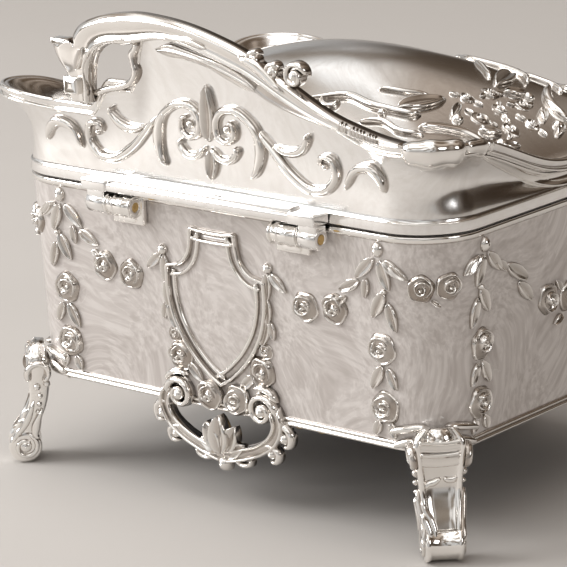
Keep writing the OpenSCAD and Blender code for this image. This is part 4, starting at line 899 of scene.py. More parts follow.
def build_lid_rim(mats, radius):
    """Rolled silver edge along the lid's rim with a thin second line under it, the folded ribbon end at a
    corner, the lens panels under the rim of three sides, and the lip of the flange."""
    s = np.linspace(0, AROUND, 640, endpoint=False)
    p, n = plan(s)
    rise, off = rim_rise(p, n), rim_off(p, n)
    pile = Pile()
    for out, up, r in ((-0.3, 0.0, radius), (0.1, -2.0, 0.42)):
        q, _ = plan(s, off + out)
        path = np.concatenate([q, (SEAM + rise + up)[:, None]], 1)
        pile.add(round_loop(path, r, 12), closed_u=True)
    top = SEAM + FLANGE_H
    lip = [[0.2, top - 0.3], [0.5, top - 0.28], [0.62, top - 0.14], [0.62, top + 0.02], [0.5, top + 0.14],
           [0.1, top + 0.2]]
    s2 = np.linspace(0, AROUND, 420, endpoint=False)
    rows = np.stack([np.concatenate([plan(s2, np.full(420, o))[0], np.full((420, 1), z)], 1) for o, z in lip])
    pile.add(rows, closed_u=True)
    fold = np.array([[0.0, -3.6], [1.3, -2.6], [2.3, -1.2], [2.6, 0.2], [2.1, 1.3], [1.2, 1.9], [0.2, 1.5],
                     [-0.5, 1.0], [-1.4, 1.5], [-2.4, 1.2], [-3.0, 0.2], [-2.6, -1.6], [-1.2, -3.0]])
    for middle, reach, size in ((CORNER_S - 0.5, 5.8, 1.3), (CORNER_S + 10.5, 5.5, 0.85)):
        u = np.linspace(-1, 1, 46)
        grow = size * np.sqrt(np.maximum(1 - abs(u) ** 4, 0.002)) * (1 + 0.07 * np.cos(7.5 * u + 0.8))
        s3 = middle + reach * u
        p3, n3 = plan(s3)
        rise3, off3 = rim_rise(p3, n3), rim_off(p3, n3)
        rows = []
        for o, h in fold:
            q, _ = plan(s3, off3 - 0.9 + (o + 0.2) * grow)
            rows.append(np.concatenate([q, (SEAM + rise3 + h * grow - 0.3)[:, None]], 1))
        pile.add(np.stack(rows, 1))
    for s0, reach in ((SIDE_S, 40.0), (2 * SIDE_S, 52.0), (AROUND - SIDE_S, 40.0)):
        x = np.linspace(-reach, reach, 60)
        q, m = plan(x + s0)
        top = rim_rise(q, m) - 3.0
        low = top - 3.4 * np.sqrt(np.maximum(1 - (x / reach) ** 2, 0.0005))
        u = np.array([0, 0.02, 0.12, 0.3, 0.6, 0.85, 0.97, 1.0])[None, :]
        y = top[:, None] * (1 - u) + low[:, None] * u
        z = np.array([SUNK, 0.7, 1.0, 0.8, 0.65, 0.8, 0.6, SUNK])[None, :] + 0 * y
        pile.add(np.stack([x[:, None] + 0 * y, y, z], -1), lambda P: on_lid(P, s0))
    return put("lid_rim", pile, "lid", mats["silver"])


# ======== shield and apron ========
SHIELD_TOP, SHIELD_TIP = -6.6, -47.6


def shield_outline(inset=0.0, n=14):
    """Right half and left half of the shield's outline: a narrow neck, hollow shoulders, full sides, one
    point."""
    half = catmull([[0, SHIELD_TOP], [4.2, SHIELD_TOP + 0.1], [7.4, SHIELD_TOP + 0.2], [7.9, -9.5],
                    [8.9, -13.2], [11.6, -16.0], [15.8, -17.2], [16.4, -19.5], [16.2, -25.5], [14.2, -32.5],
                    [10.0, -39.2],
                    [4.6, -44.6], [0, SHIELD_TIP]], n)
    left = half[::-1][1:-1] * [-1, 1]
    loop = np.vstack([half, left])
    d = np.roll(loop, -1, 0) - np.roll(loop, 1, 0)
    d /= np.maximum(np.linalg.norm(d, axis=1, keepdims=True), 1e-9)
    return loop + np.stack([d[:, 1], -d[:, 0]], 1) * inset


def loop_strand(path, width, height):
    """Raised line along a closed flat path."""
    d = np.roll(path, -1, 0) - np.roll(path, 1, 0)
    d /= np.maximum(np.linalg.norm(d, axis=1, keepdims=True), 1e-9)
    side = np.stack([-d[:, 1], d[:, 0]], 1)
    a = np.linspace(0, np.pi, 9)
    across = np.concatenate([np.cos(a), [-0.9, 0.9]]) * width
    up = np.concatenate([np.sin(a) ** 0.8 * height, [SUNK, SUNK]])
    xy = path[:, None] + side[:, None] * across[None, :, None]
    z = np.broadcast_to(up, xy.shape[:2])
    # relief: zero at the edges, where the silver finish paints shade
    rel = np.broadcast_to(np.concatenate([np.sin(a), [0, 0]]), xy.shape[:2])
    return np.concatenate([xy, z[..., None]], -1), rel * 1.0


def build_shield(mats, name, s0, node):
    """Shield: a smooth field inside a double frame."""
    place = lambda P: on_case(P, s0)
    pile = Pile()
    for inset, w, h in ((0.5, 0.62, 1.5), (3.0, 0.62, 1.35)):
        P, rel = loop_strand(shield_outline(inset), w, h)
        pile.add(P, place, rel, closed_u=True)
    frame_obj = put(name + "_frame", pile, "case", mats["silver"], [node])
    shares = np.linspace(0.02, 1, 16)[:, None, None]
    centre = np.array([0, -25.0])
    field = centre + (shield_outline() - centre) * 0.94
    xy = centre + (field - centre)[None] * shares
    z = 0.55 * (1 - shares[..., 0] ** 6) + 0 * xy[..., 0]
    P = np.concatenate([xy, z[..., None]], -1)
    back = np.concatenate([xy[-1:], np.full((1, len(field), 1), SUNK)], -1)
    fill = Pile().add(np.vstack([P, back]), place)
    put(name + "_field", fill, "case", mats["enamel"])
    return frame_obj


APRON_ARC = [[17.4, -50.0], [18.6, -54.6], [16.6, -58.8], [12.2, -61.9], [7.2, -63.9], [3.0, -65.2],
             [0.2, -65.8]]


def rails(pile, place, path, gap, width, height, back):
    """Two raised lines side by side along a path, over a flat web that joins them."""
    line = catmull(path, 7)
    side = sides_of(line)
    for out in (-gap / 2, gap / 2):
        pile.lay(strand(np.column_stack([line + side * out, np.full(len(line), width)]), height, sunk=back),
                 place)
    web = np.stack([line + side * gap / 2, line - side * gap / 2], 1)
    z = np.full(web.shape[:2], height - 0.9)
    rows = np.concatenate([np.dstack([web, z]), np.dstack([web[:, ::-1], np.full(web.shape[:2], back)])], 1)
    # the web between the rails gets relief 0.25, painted shade
    pile.add(rows, place, np.full(rows.shape[:2], 0.25))


def apron_shapes(pile, place):
    """Pierced apron: two C scrolls of double rails that meet under a tulip, with volutes, outer curls and
    a boss."""
    for sx in (-1, 1):
        f = np.array([sx, 1.0])
        f3 = np.array([sx, 1.0, 1.0])
        rails(pile, place, np.array(APRON_ARC) * f, 2.5, 0.62, 2.9, 0.4)
        pile.lay(strand(spiral((13.6, -51.4), 4.4, 0.8, -20, 560, 46, 1.15, 0.6) * f3, 3.0, power=0.7,
                        sunk=0.4), place)
        pile.lay(raised(bead((13.6 * sx, -51.4), 1.6, 1.6, 2.0), 1.6, 0.4), place)
        for pts in ([[17.6, -54.4, 0.5], [20.4, -54.6, 1.0], [22.3, -56.8, 1.2], [21.6, -59.4, 0.9],
                     [19.4, -59.6, 0.5]],
                    [[12.8, -60.6, 0.5], [15.6, -60.4, 0.9], [18.0, -62.0, 1.1], [17.2, -64.3, 0.9],
                    [14.8, -64.4, 0.5]],
                    [[3.2, -65.4, 0.4], [5.6, -67.2, 0.8], [8.4, -66.6, 0.8], [9.2, -64.8, 0.4]],
                    [[10.4, -46.0, 0.4], [13.4, -45.4, 0.9], [16.6, -46.4, 1.0], [18.2, -48.8, 0.7]]):
            pile.lay(strand(catmull(np.array(pts) * f3, 6), 2.3, sunk=0.3), place)
        for x, y, r in ((20.2, -57.6, 1.5), (15.9, -62.4, 1.35)):
            pile.lay(raised(bead((x * sx, y), r, r, 1.5), 1.1, 0.3), place)
        pile.lay(raised(rose((4.5 * sx + 0.8, -50.0), 4.1, 2.6, 1.0 + sx), 1.3, 0.0), place)
        pile.lay(raised(leaf((1.2 * sx, -64.2), (4.8 * sx, -57.0), 5.0, 2.4), 1.4, 0.3), place)
        pile.lay(raised(leaf((1.4 * sx, -65.2), (7.2 * sx, -61.6), 3.6, 1.9), 1.2, 0.3), place)
    pile.lay(raised(leaf((-0.4, -65.2), (-0.2, -54.6), 6.2, 3.0), 1.6, 0.3), place)
    pile.lay(bead((0, -67.8), 2.1, 2.3, 3.2), place)


def build_apron(mats, name, s0):
    """Pierced apron under a shield."""
    place = lambda P: on_case(P, s0)
    pile = Pile()
    apron_shapes(pile, place)
    return put(name, pile, "case", mats["silver"])


def block(x0, x1, y0, y1, z0, z1, r=0.4):
    """Bar with rounded edges: loops that grow and shrink by quarter circles at its two ends."""
    a = np.linspace(0, np.pi / 2, 4)
    corners = []
    for cx, cy, t0 in ((x1, y1, 0), (x0, y1, 1), (x0, y0, 2), (x1, y0, 3)):
        corners += [(cx, cy, t0 * np.pi / 2 + t) for t in a]
    c = np.array(corners)
    sx, sy = np.sign(c[:, 0] - (x0 + x1) / 2), np.sign(c[:, 1] - (y0 + y1) / 2)
    loop = lambda q: np.stack([c[:, 0] - sx * r + q * np.cos(c[:, 2]),
                               c[:, 1] - sy * r + q * np.sin(c[:, 2])], 1)
    rows = [np.column_stack([loop(r * math.sin(t)), np.full(len(c), z0 + r - r * math.cos(t))]) for t in a]
    rows += [np.column_stack([loop(r * math.cos(t)), np.full(len(c), z1 - r + r * math.sin(t))]) for t in a]
    return np.stack(rows)


# ======== hinge ========
def tube(x0, x1, radius, bore, deep, y, z, chamfer=0.35):
    """Turned sleeve along x with chamfered ends and a blind bore in each of them."""
    a = np.linspace(0, TAU, 36, endpoint=False)
    c = chamfer
    prof = [(x0 + deep, bore), (x0 + 0.15, bore), (x0, bore + 0.15), (x0, radius - c), (x0 + c, radius),
            (x1 - c, radius), (x1, radius - c), (x1, bore + 0.15),
            (x1 - 0.15, bore), (x1 - deep, bore)]
    return np.stack([np.stack([np.full_like(a, x), y + r * np.cos(a), z + r * np.sin(a)], 1)
                     for x, r in prof])


def build_hinge(mats):
    """Hinge: the lid's long bar with stepped ends, the sleeves under it and the ribbed straps they grow
    from."""
    bar_pile = Pile()
    bar_pile.add(block(-37.5, 37.5, 55.9, 61.5, 79.95, 82.0, 0.45))
    bar_pile.add(block(-37.9, -29.6, 55.9, 61.9, 79.8, 82.6, 0.4))
    bar_pile.add(block(29.6, 37.9, 55.9, 61.9, 79.8, 82.6, 0.4))
    bar_pile.add(block(-29.4, 29.4, 55.9, 60.4, 81.8, 83.2, 0.5))
    for sx in (-1, 1):
        a, b = sorted((sx * 31.6, sx * 37.4))
        bar_pile.add(tube(a, b, 2.75, 1.3, 1.5, HINGE_Y, HINGE_Z))
        bar_pile.add(block(a + 0.1, b - 0.1, HINGE_Y - 2.0, HINGE_Y + 2.0, HINGE_Z + 1.4, 80.4, 0.35))
    put("hinge_bar", bar_pile, "lid", mats["satin"], ["hinge_shelf"])
    pile = Pile()
    for sx in (-1, 1):
        c = sx * 26.85
        pile.add(tube(c - 4.45, c + 4.45, 2.75, 1.3, 0.4, HINGE_Y, HINGE_Z))
        for k in (-4.0, -1.5, 1.5, 4.0):
            pile.add(tube(c + k - 0.4, c + k + 0.4, 2.95, 2.4, 0.3, HINGE_Y, HINGE_Z, 0.2))
        pile.add(block(c - 5.2, c + 5.2, 54.9, 56.6, 70.9, 78.7, 0.5))
        pile.add(block(c - 4.2, c + 4.2, 55.2, 58.3, 73.5, 78.6, 0.4))
        pile.add(block(c - 3.0, c + 3.0, 55.9, 57.1, 71.6, 73.4, 0.35))
    return put("hinge_sleeves", pile, "case", mats["silver"], ["hinge_knuckles"])


# ======== garlands ========
DROP_X, SIDE_DROP_X, SHIELD_X = 51.8, 36.8, 16.4     # from a wall's middle to its drops and the shield's


def build_garlands(mats, name, s0, node):
    """Garlands of a long wall: drops beside the corners, swags of leaves and roses, drops down the
    shield's sides."""
    pile, shield = Pile(), Pile()
    place = lambda P: on_case(P, s0)
    for sx in (-1, 1):
        garland(pile, place, DROP_X * sx, sx, **DROP)
        garland(pile, place, DROP_X * sx, sx, **SWAG)
        garland(shield, place, SHIELD_X * sx, sx, **SHIELD_DROP)
    put(name + "_shield_garlands", shield, "case", mats["silver"])
    return put(name + "_garlands", pile, "case", mats["silver"], [node])


def build_side_garlands(mats):
    """Garlands of the two short walls: a drop beside each corner and a swag with three roses between."""
    pile = Pile()
    for s0 in (SIDE_S, AROUND - SIDE_S):
        place = lambda P: on_case(P, s0)
        for sx in (-1, 1):
            garland(pile, place, SIDE_DROP_X * sx, sx, **DROP)
            garland(pile, place, SIDE_DROP_X * sx, sx, **SIDE_SWAG)
        garland(pile, place, 0.0, 1, roses=[(0, 25.4, 0.98)],
                leaves=[((-3.6, 23.0), (-6.0, 20.0), 1.8), ((3.6, 23.0), (6.0, 20.0), 1.8),
                        ((-2.6, 29.6), (-6.4, 31.4), 2.2), ((2.6, 29.6), (6.4, 31.4), 2.2)])
    return put("side_garlands", pile, "case", mats["silver"], ["side_garlands"])


def build_corner_garlands(mats):
    """A pair of roses round each corner with the leaves that lead to them."""
    pile = Pile()
    for s0 in (CORNER_S, 2 * SIDE_S - CORNER_S, 2 * SIDE_S + CORNER_S, AROUND - CORNER_S):
        place = lambda P: on_case(P, s0)
        garland(pile, place, 0.0, 1, roses=CORNER_ROSES,
                leaves=[((-11.6, 7.4), (-6.6, 10.8), 2.3), ((11.4, 6.4), (7.4, 10.4), 2.3),
                        ((-1.0, 15.6), (1.4, 17.4), 1.4)])
    return put("corner_garlands", pile, "case", mats["silver"], ["corner_garlands"])


# ======== crest ========
CREST_Y = CASE_D / 2 + FLARE - FLARE_SLOPE * RIM_H + 0.55


def on_crest(P):
    """Lays a flat pattern (x to the right seen from behind, y up from the seam, z out) on the crest's
    leaning plane."""
    return np.stack([-P[..., 0], CREST_Y + FLARE_SLOPE * P[..., 1] + P[..., 2], SEAM + P[..., 1]], -1)


# outer and inner edge of the crest, station by station: arm, ear, notch, arch and the long fall
ARM = [[-42.6, 22.6, -35.6, 22.6], [-42.8, 25.6, -35.6, 26.0], [-42.9, 28.2, -35.4, 28.8],
       [-43.6, 30.2, -35.2, 30.6], [-45.8, 32.4, -34.9, 32.4], [-47.4, 35.2, -34.4, 33.8],
       [-47.5, 36.9, -34.0, 34.6], [-45.4, 38.2, -33.6, 35.2], [-42.6, 38.4, -33.0, 35.9],
       [-42.0, 37.2, -32.4, 36.5], [-41.2, 37.2, -31.9, 36.9], [-40.7, 39.4, -31.2, 37.3],
       [-39.0, 41.8, -30.2, 37.8], [-36.4, 43.5, -28.8, 38.3], [-33.4, 44.7, -27.2, 38.6],
       [-30.0, 45.7, -25.4, 38.7], [-25.0, 46.6, -23.4, 38.7], [-19.0, 47.2, -20.6, 39.2]]
FALL = [[-11.7, 46.9, -12.4, 41.0], [-5.2, 46.2, -6.4, 41.0], [1.2, 45.0, -0.4, 39.9], [7.5, 43.4, 5.8, 38.3],
        [12.8, 41.8, 11.0, 36.8], [18.0, 39.8, 16.4, 35.2], [23.4, 37.2, 22.0, 32.8],
        [29.6, 34.0, 28.0, 30.0], [36.4, 30.6, 34.8, 27.4], [43.4, 27.8, 42.4, 25.2],
        [51.0, 25.8, 50.6, 23.6], [57.0, 24.6, 57.0, 22.9], [62.6, 23.9, 62.6, 22.9]]
BAND = [[0, -0.6], [0, 1.6], [0.02, 1.95], [0.1, 2.6], [0.22, 3.35], [0.26, 3.3], [0.5, 2.7], [0.76, 2.75],
        [0.8, 3.1], [0.87, 3.3], [0.94, 3.1], [0.97, 2.4], [1, 1.6], [1, -0.6]]
SPRAY = [[-14.2, 38.6, -13.9, 37.6], [-9.7, 40.2, -10.5, 36.6], [-5.5, 39.5, -4.0, 36.2],
         [0.9, 38.2, 2.4, 35.0], [7.3, 37.0, 8.6, 32.6], [13.2, 34.9, 13.4, 31.0], [17.2, 32.2, 16.9, 30.6]]
SPRAY_CUT = [[0, -0.4], [0.02, 1.1], [0.1, 1.8], [0.2, 1.7], [0.34, 1.0], [0.46, 1.5], [0.55, 1.75],
             [0.64, 1.4], [0.78, 0.9], [0.88, 1.35], [0.95, 1.2], [0.99, 0.6], [1, -0.4]]
SCOOP = [[13.0, 36.6, 12.9, 36.0], [15.6, 35.8, 15.0, 32.6], [20.0, 34.2, 19.0, 29.6],
         [24.6, 32.0, 24.4, 27.6], [30.6, 29.2, 30.4, 26.2], [36.4, 26.8, 36.4, 25.2],
         [41.0, 25.0, 41.0, 24.6]]
SCOOP_CUT = [[0, -0.4], [0.01, 2.3], [0.08, 2.5], [0.16, 1.9], [0.35, 1.2], [0.65, 0.9], [0.86, 1.2],
             [0.94, 1.5], [0.99, 1.1], [1, -0.4]]


def build_crest(mats):
    """Pierced crest: an arm with an ear rises from the rim, arches over the opening and falls along the
    rim as a bevelled band, with a spray of leaf, a scooped facet, curls and gadroons on its fall."""
    pile = Pile()
    t = np.array(ARM + FALL)
    pile.lay(strip(t[:, :2], t[:, 2:], BAND, 7), on_crest)
    for table, cut in ((SPRAY, SPRAY_CUT), (SCOOP, SCOOP_CUT)):
        t = np.array(table)
        pile.lay(strip(t[:, :2], t[:, 2:], cut, 8), on_lid)
    # sides of the opening, the square foot of the arm and the raised oval on it
    inner = catmull([[-20.0, 39.6, 0.9], [-20.8, 37.8, 0.9], [-22.0, 36.2, 1.0], [-21.6, 34.0, 0.8],
                     [-21.2, 31.6, 0.8], [-23.0, 29.0, 0.9], [-27, 27.4, 0.9], [-31, 26.4, 0.9],
                     [-36, 24.6, 1.0]], 7)
    pile.lay(strand(inner, 1.5, m=11, power=0.6, sunk=-1.6), on_crest)
    line = catmull([[-35.9, 24.6, 0.5], [-36.2, 28, 0.5], [-36.6, 31.4, 0.5], [-35.6, 34.2, 0.5],
                    [-33.4, 36.8, 0.5], [-30.2, 38.8, 0.5], [-25.4, 40.0, 0.5], [-21.6, 40.4, 0.5]], 8)
    pile.lay(raised(strand(line, 0.7, m=8), 2.9, 2.0), on_crest)
    pile.lay(raised(leaf((-39.4, 30.8), (-36.6, 37.0), 2.4, 1.0), 2.7, 2.0), on_crest)
    pile.add(block(-43.2, -38.4, 24.6, 29.2, 1.0, 3.9, 0.5), on_crest)
    pile.add(block(-47.3, -42.3, 36.9, 38.5, -0.4, 3.3, 0.3), on_crest)
    for pts, h in (([[-10.4, 42.9, 0.3], [-6.4, 42.2, 0.8], [-1.0, 42.0, 0.7], [4.6, 40.6, 0.4]], 1.0),
                   ([[14.6, 40.0, 0.6], [19.6, 38.2, 1.4], [24.0, 35.4, 1.2], [28.6, 32.2, 0.6]], 1.5)):
        pile.lay(raised(strand(catmull(pts, 7), h), 2.6, 2.0), on_crest)
    for (cx, cy), r, turn in (((18.6, 39.2), 2.0, 40), ((24.4, 37.0), 1.9, 20), ((31.2, 36.6), 3.3, 0)):
        sp = spiral((cx, cy), r, 0.5, turn, turn + 560, 40, 0.95, 0.5)
        P, rel = strand(sp, 2.6, power=0.6, sunk=-0.6)
        pile.add(P + [0, 0, 0.4], on_crest, rel)
        pile.lay(raised(bead((cx, cy), r * 0.42, r * 0.42, 1.2), 2.2, 0.0), on_crest)
    fall = catmull(FALL, 7)
    for t in np.linspace(0.78, 0.90, 9):
        q = fall[int(t * (len(fall) - 1))]
        pile.lay(raised(leaf((q[0], q[1] + 0.2), (q[2] + 0.3, q[3]), 1.15, 0.8), 2.7, 2.0), on_crest)
    return put("crest", pile, "lid", mats["silver"], ["lid_crest"])


# ======== relief of the lid ========
LID_LINES = [[[17.8, 17.2, 0.5], [14.6, 21.6, 1.0], [9.6, 24.7, 1.15], [4.9, 24.3, 1.15], [2.7, 21.4, 1.0],
              [3.2, 18.0, 0.95], [5.8, 16.7, 0.85], [8.4, 18.2, 0.8], [8.3, 21.0, 0.7], [6.6, 22.0, 0.5]],
             [[13.0, 22.6, 0.5], [15.6, 19.8, 1.2], [16.6, 15.6, 1.6], [15.6, 11.0, 1.1], [13.8, 8.4, 0.4]],
             [[16.4, 20.8, 0.5], [20.4, 16.6, 1.0], [25.4, 11.8, 1.25], [31.4, 8.4, 1.35],
             [36.8, 8.8, 1.3], [39.9, 12.2, 1.15], [39.0, 16.2, 0.95], [35.9, 16.7, 0.75], [35.1, 14.4, 0.5]],
             [[20.6, 17.8, 0.5], [24.8, 16.6, 1.2], [29.0, 17.4, 1.3], [31.6, 20.0, 0.8], [31.4, 21.8, 0.4]],
             [[0.8, 15.0, 0.5], [3.6, 12.4, 0.95], [6.9, 12.3, 1.05], [9.1, 14.3, 0.9], [8.8, 16.0, 0.5]],
             [[42.6, 9.4, 0.5], [45.6, 14.4, 1.1], [50.4, 15.6, 1.4], [53.4, 13.4, 1.2], [54.6, 10.2, 0.5]]]


def build_lid_relief(mats):
    """Raised scrolls on the back panel: a spear and a bud between two volutes, long arms that curl,
    commas at the ends."""
    pile = Pile()
    for a, b, w, h in (((0, 16.0), (0, 30.6), 4.2, 2.1), ((0.9, 14.4), (0.9, 6.6), 3.6, 1.9)):
        pile.lay(leaf(a, b, w, h), on_lid)
    for sx in (-1, 1):
        f = np.array([sx, 1, 1])
        for path in LID_LINES:
            pile.lay(strand(catmull(path, 8) * f * [1, 1, 1.08], 1.8, m=11, power=0.9), on_lid)
        for x, y, r in ((6.0, 19.9, 1.2), (36.6, 14.4, 0.9)):
            pile.lay(bead((x * sx, y), r, r, 1.5), on_lid)
    return put("lid_relief", pile, "lid", mats["silver"], ["lid_ornament"])


DOME_LINES = [([[12, 30.6, 0.5], [15, 29, 0.7], [21, 26, 1.1], [30, 27.2, 1.2], [38, 25.6, 0.9],
                [41, 22.6, 0.5]], 1.6),
              ([[14.2, 27.6, 0.4], [16.6, 30.6, 0.8], [19.6, 30.8, 0.7], [20.4, 28.4, 0.5]], 1.3),
              ([[44, 28, 0.6], [46.4, 23.6, 1.2], [50.8, 19.0, 1.3], [57, 17.2, 0.9]], 1.6),
              ([[30, 33.4, 0.4], [36, 31.4, 0.9], [42, 32.4, 0.9], [47, 29.6, 0.5]], 1.3),
              ([[26, 20.4, 0.4], [31, 17.4, 0.8], [36.6, 12.6, 0.6]], 1.2),
              ([[48, 36.6, 0.4], [53.6, 33.0, 0.9], [57.4, 26.6, 0.8], [58.8, 21.0, 0.4]], 1.3),
              ([[17, 37.6, 0.4], [27, 39.2, 0.9], [38, 38.4, 0.9], [45, 35.2, 0.4]], 1.3)]
DOME_FLOWERS = [(41.6, 4.4), (42.4, -4.4), (48.4, 0), (49, 9), (49, -9), (55, 4.4), (55.4, -4.4)]


def build_dome_relief(mats):
    """Scrollwork on the dome's shoulders: S scrolls, hollow leaves and C loops, with flowers strewn
    between them."""
    pile = Pile()
    for sx in (-1, 1):
        for sy in (-1, 1):
            f = np.array([sx, sy, 1])
            for path, h in DOME_LINES:
                pile.lay(strand(catmull(path, 8) * f, h), on_dome)
            for a, b, w in (((35.0, 24.4), (39.8, 10.6), 4.6), ((45.4, 15.6), (43.0, 9.4), 2.4),
                            ((51.8, 13.6), (55.6, 9.2), 2.4), ((58.0, 13.4), (60.4, 8.2), 2.2)):
                pile.lay(leaf((sx * a[0], sy * a[1]), (sx * b[0], sy * b[1]), w, 1.7), on_dome)
            for x, y, r in ((46.6, 15.2, 1.5), (57.8, 12.2, 1.5), (33.6, 28.6, 1.2)):
                pile.lay(bead((x * sx, y * sy), r, r, 1.5), on_dome)
        for k, (x, y) in enumerate(DOME_FLOWERS):
            pile.lay(rose((sx * x, y), 2.4 if k % 2 else 2.0, 1.3, 1.1 * k + sx), on_dome)
            for turn in (0.6, 3.4):
                c, d = math.cos(turn + k), math.sin(turn + k)
                pile.lay(leaf((sx * x + 1.9 * c, y + 1.9 * d), (sx * x + 4.4 * c, y + 4.4 * d), 1.3, 0.8),
                         on_dome)
    return put("dome_relief", pile, "lid", mats["silver"])


# ======== feet ========
FOOT_LINE = [[8.6, 5.7, 4.6, 8.8], [7.4, 9.25, 4.4, 9.2], [5.85, 12.75, 4.2, 10.0], [4.45, 16.5, 4.4, 10.6],
             [3.85, 20.75, 4.8, 11.2], [3.95, 25.0, 5.0, 12.4], [3.85, 29.0, 4.6, 12.6],
             [3.45, 32.2, 2.6, 7.6]]


def at_corner(q):
    """Places a foot's pattern (x out from the case's bottom corner, y along it, z up) at corner q, 0
    being +X +Y."""
    cx = (1 if q in (0, 3) else -1) * STRAIGHT_X
    cy = (1 if q < 2 else -1) * STRAIGHT_Y
    a = math.radians(45 + 90 * q)

    def place(P):
        x, y = P[..., 0] + CORNER_R - TAPER, P[..., 1]
        return np.stack([cx + x * math.cos(a) - y * math.sin(a), cy + x * math.sin(a) + y * math.cos(a),
                         P[..., 2]], -1)
    return place


FOOT = catmull(FOOT_LINE, 10)
FOOT_D = np.gradient(FOOT[:, :2], axis=0)
FOOT_D = FOOT_D / np.linalg.norm(FOOT_D, axis=1, keepdims=True)
FOOT_N = np.stack([FOOT_D[:, 1], -FOOT_D[:, 0]], 1)


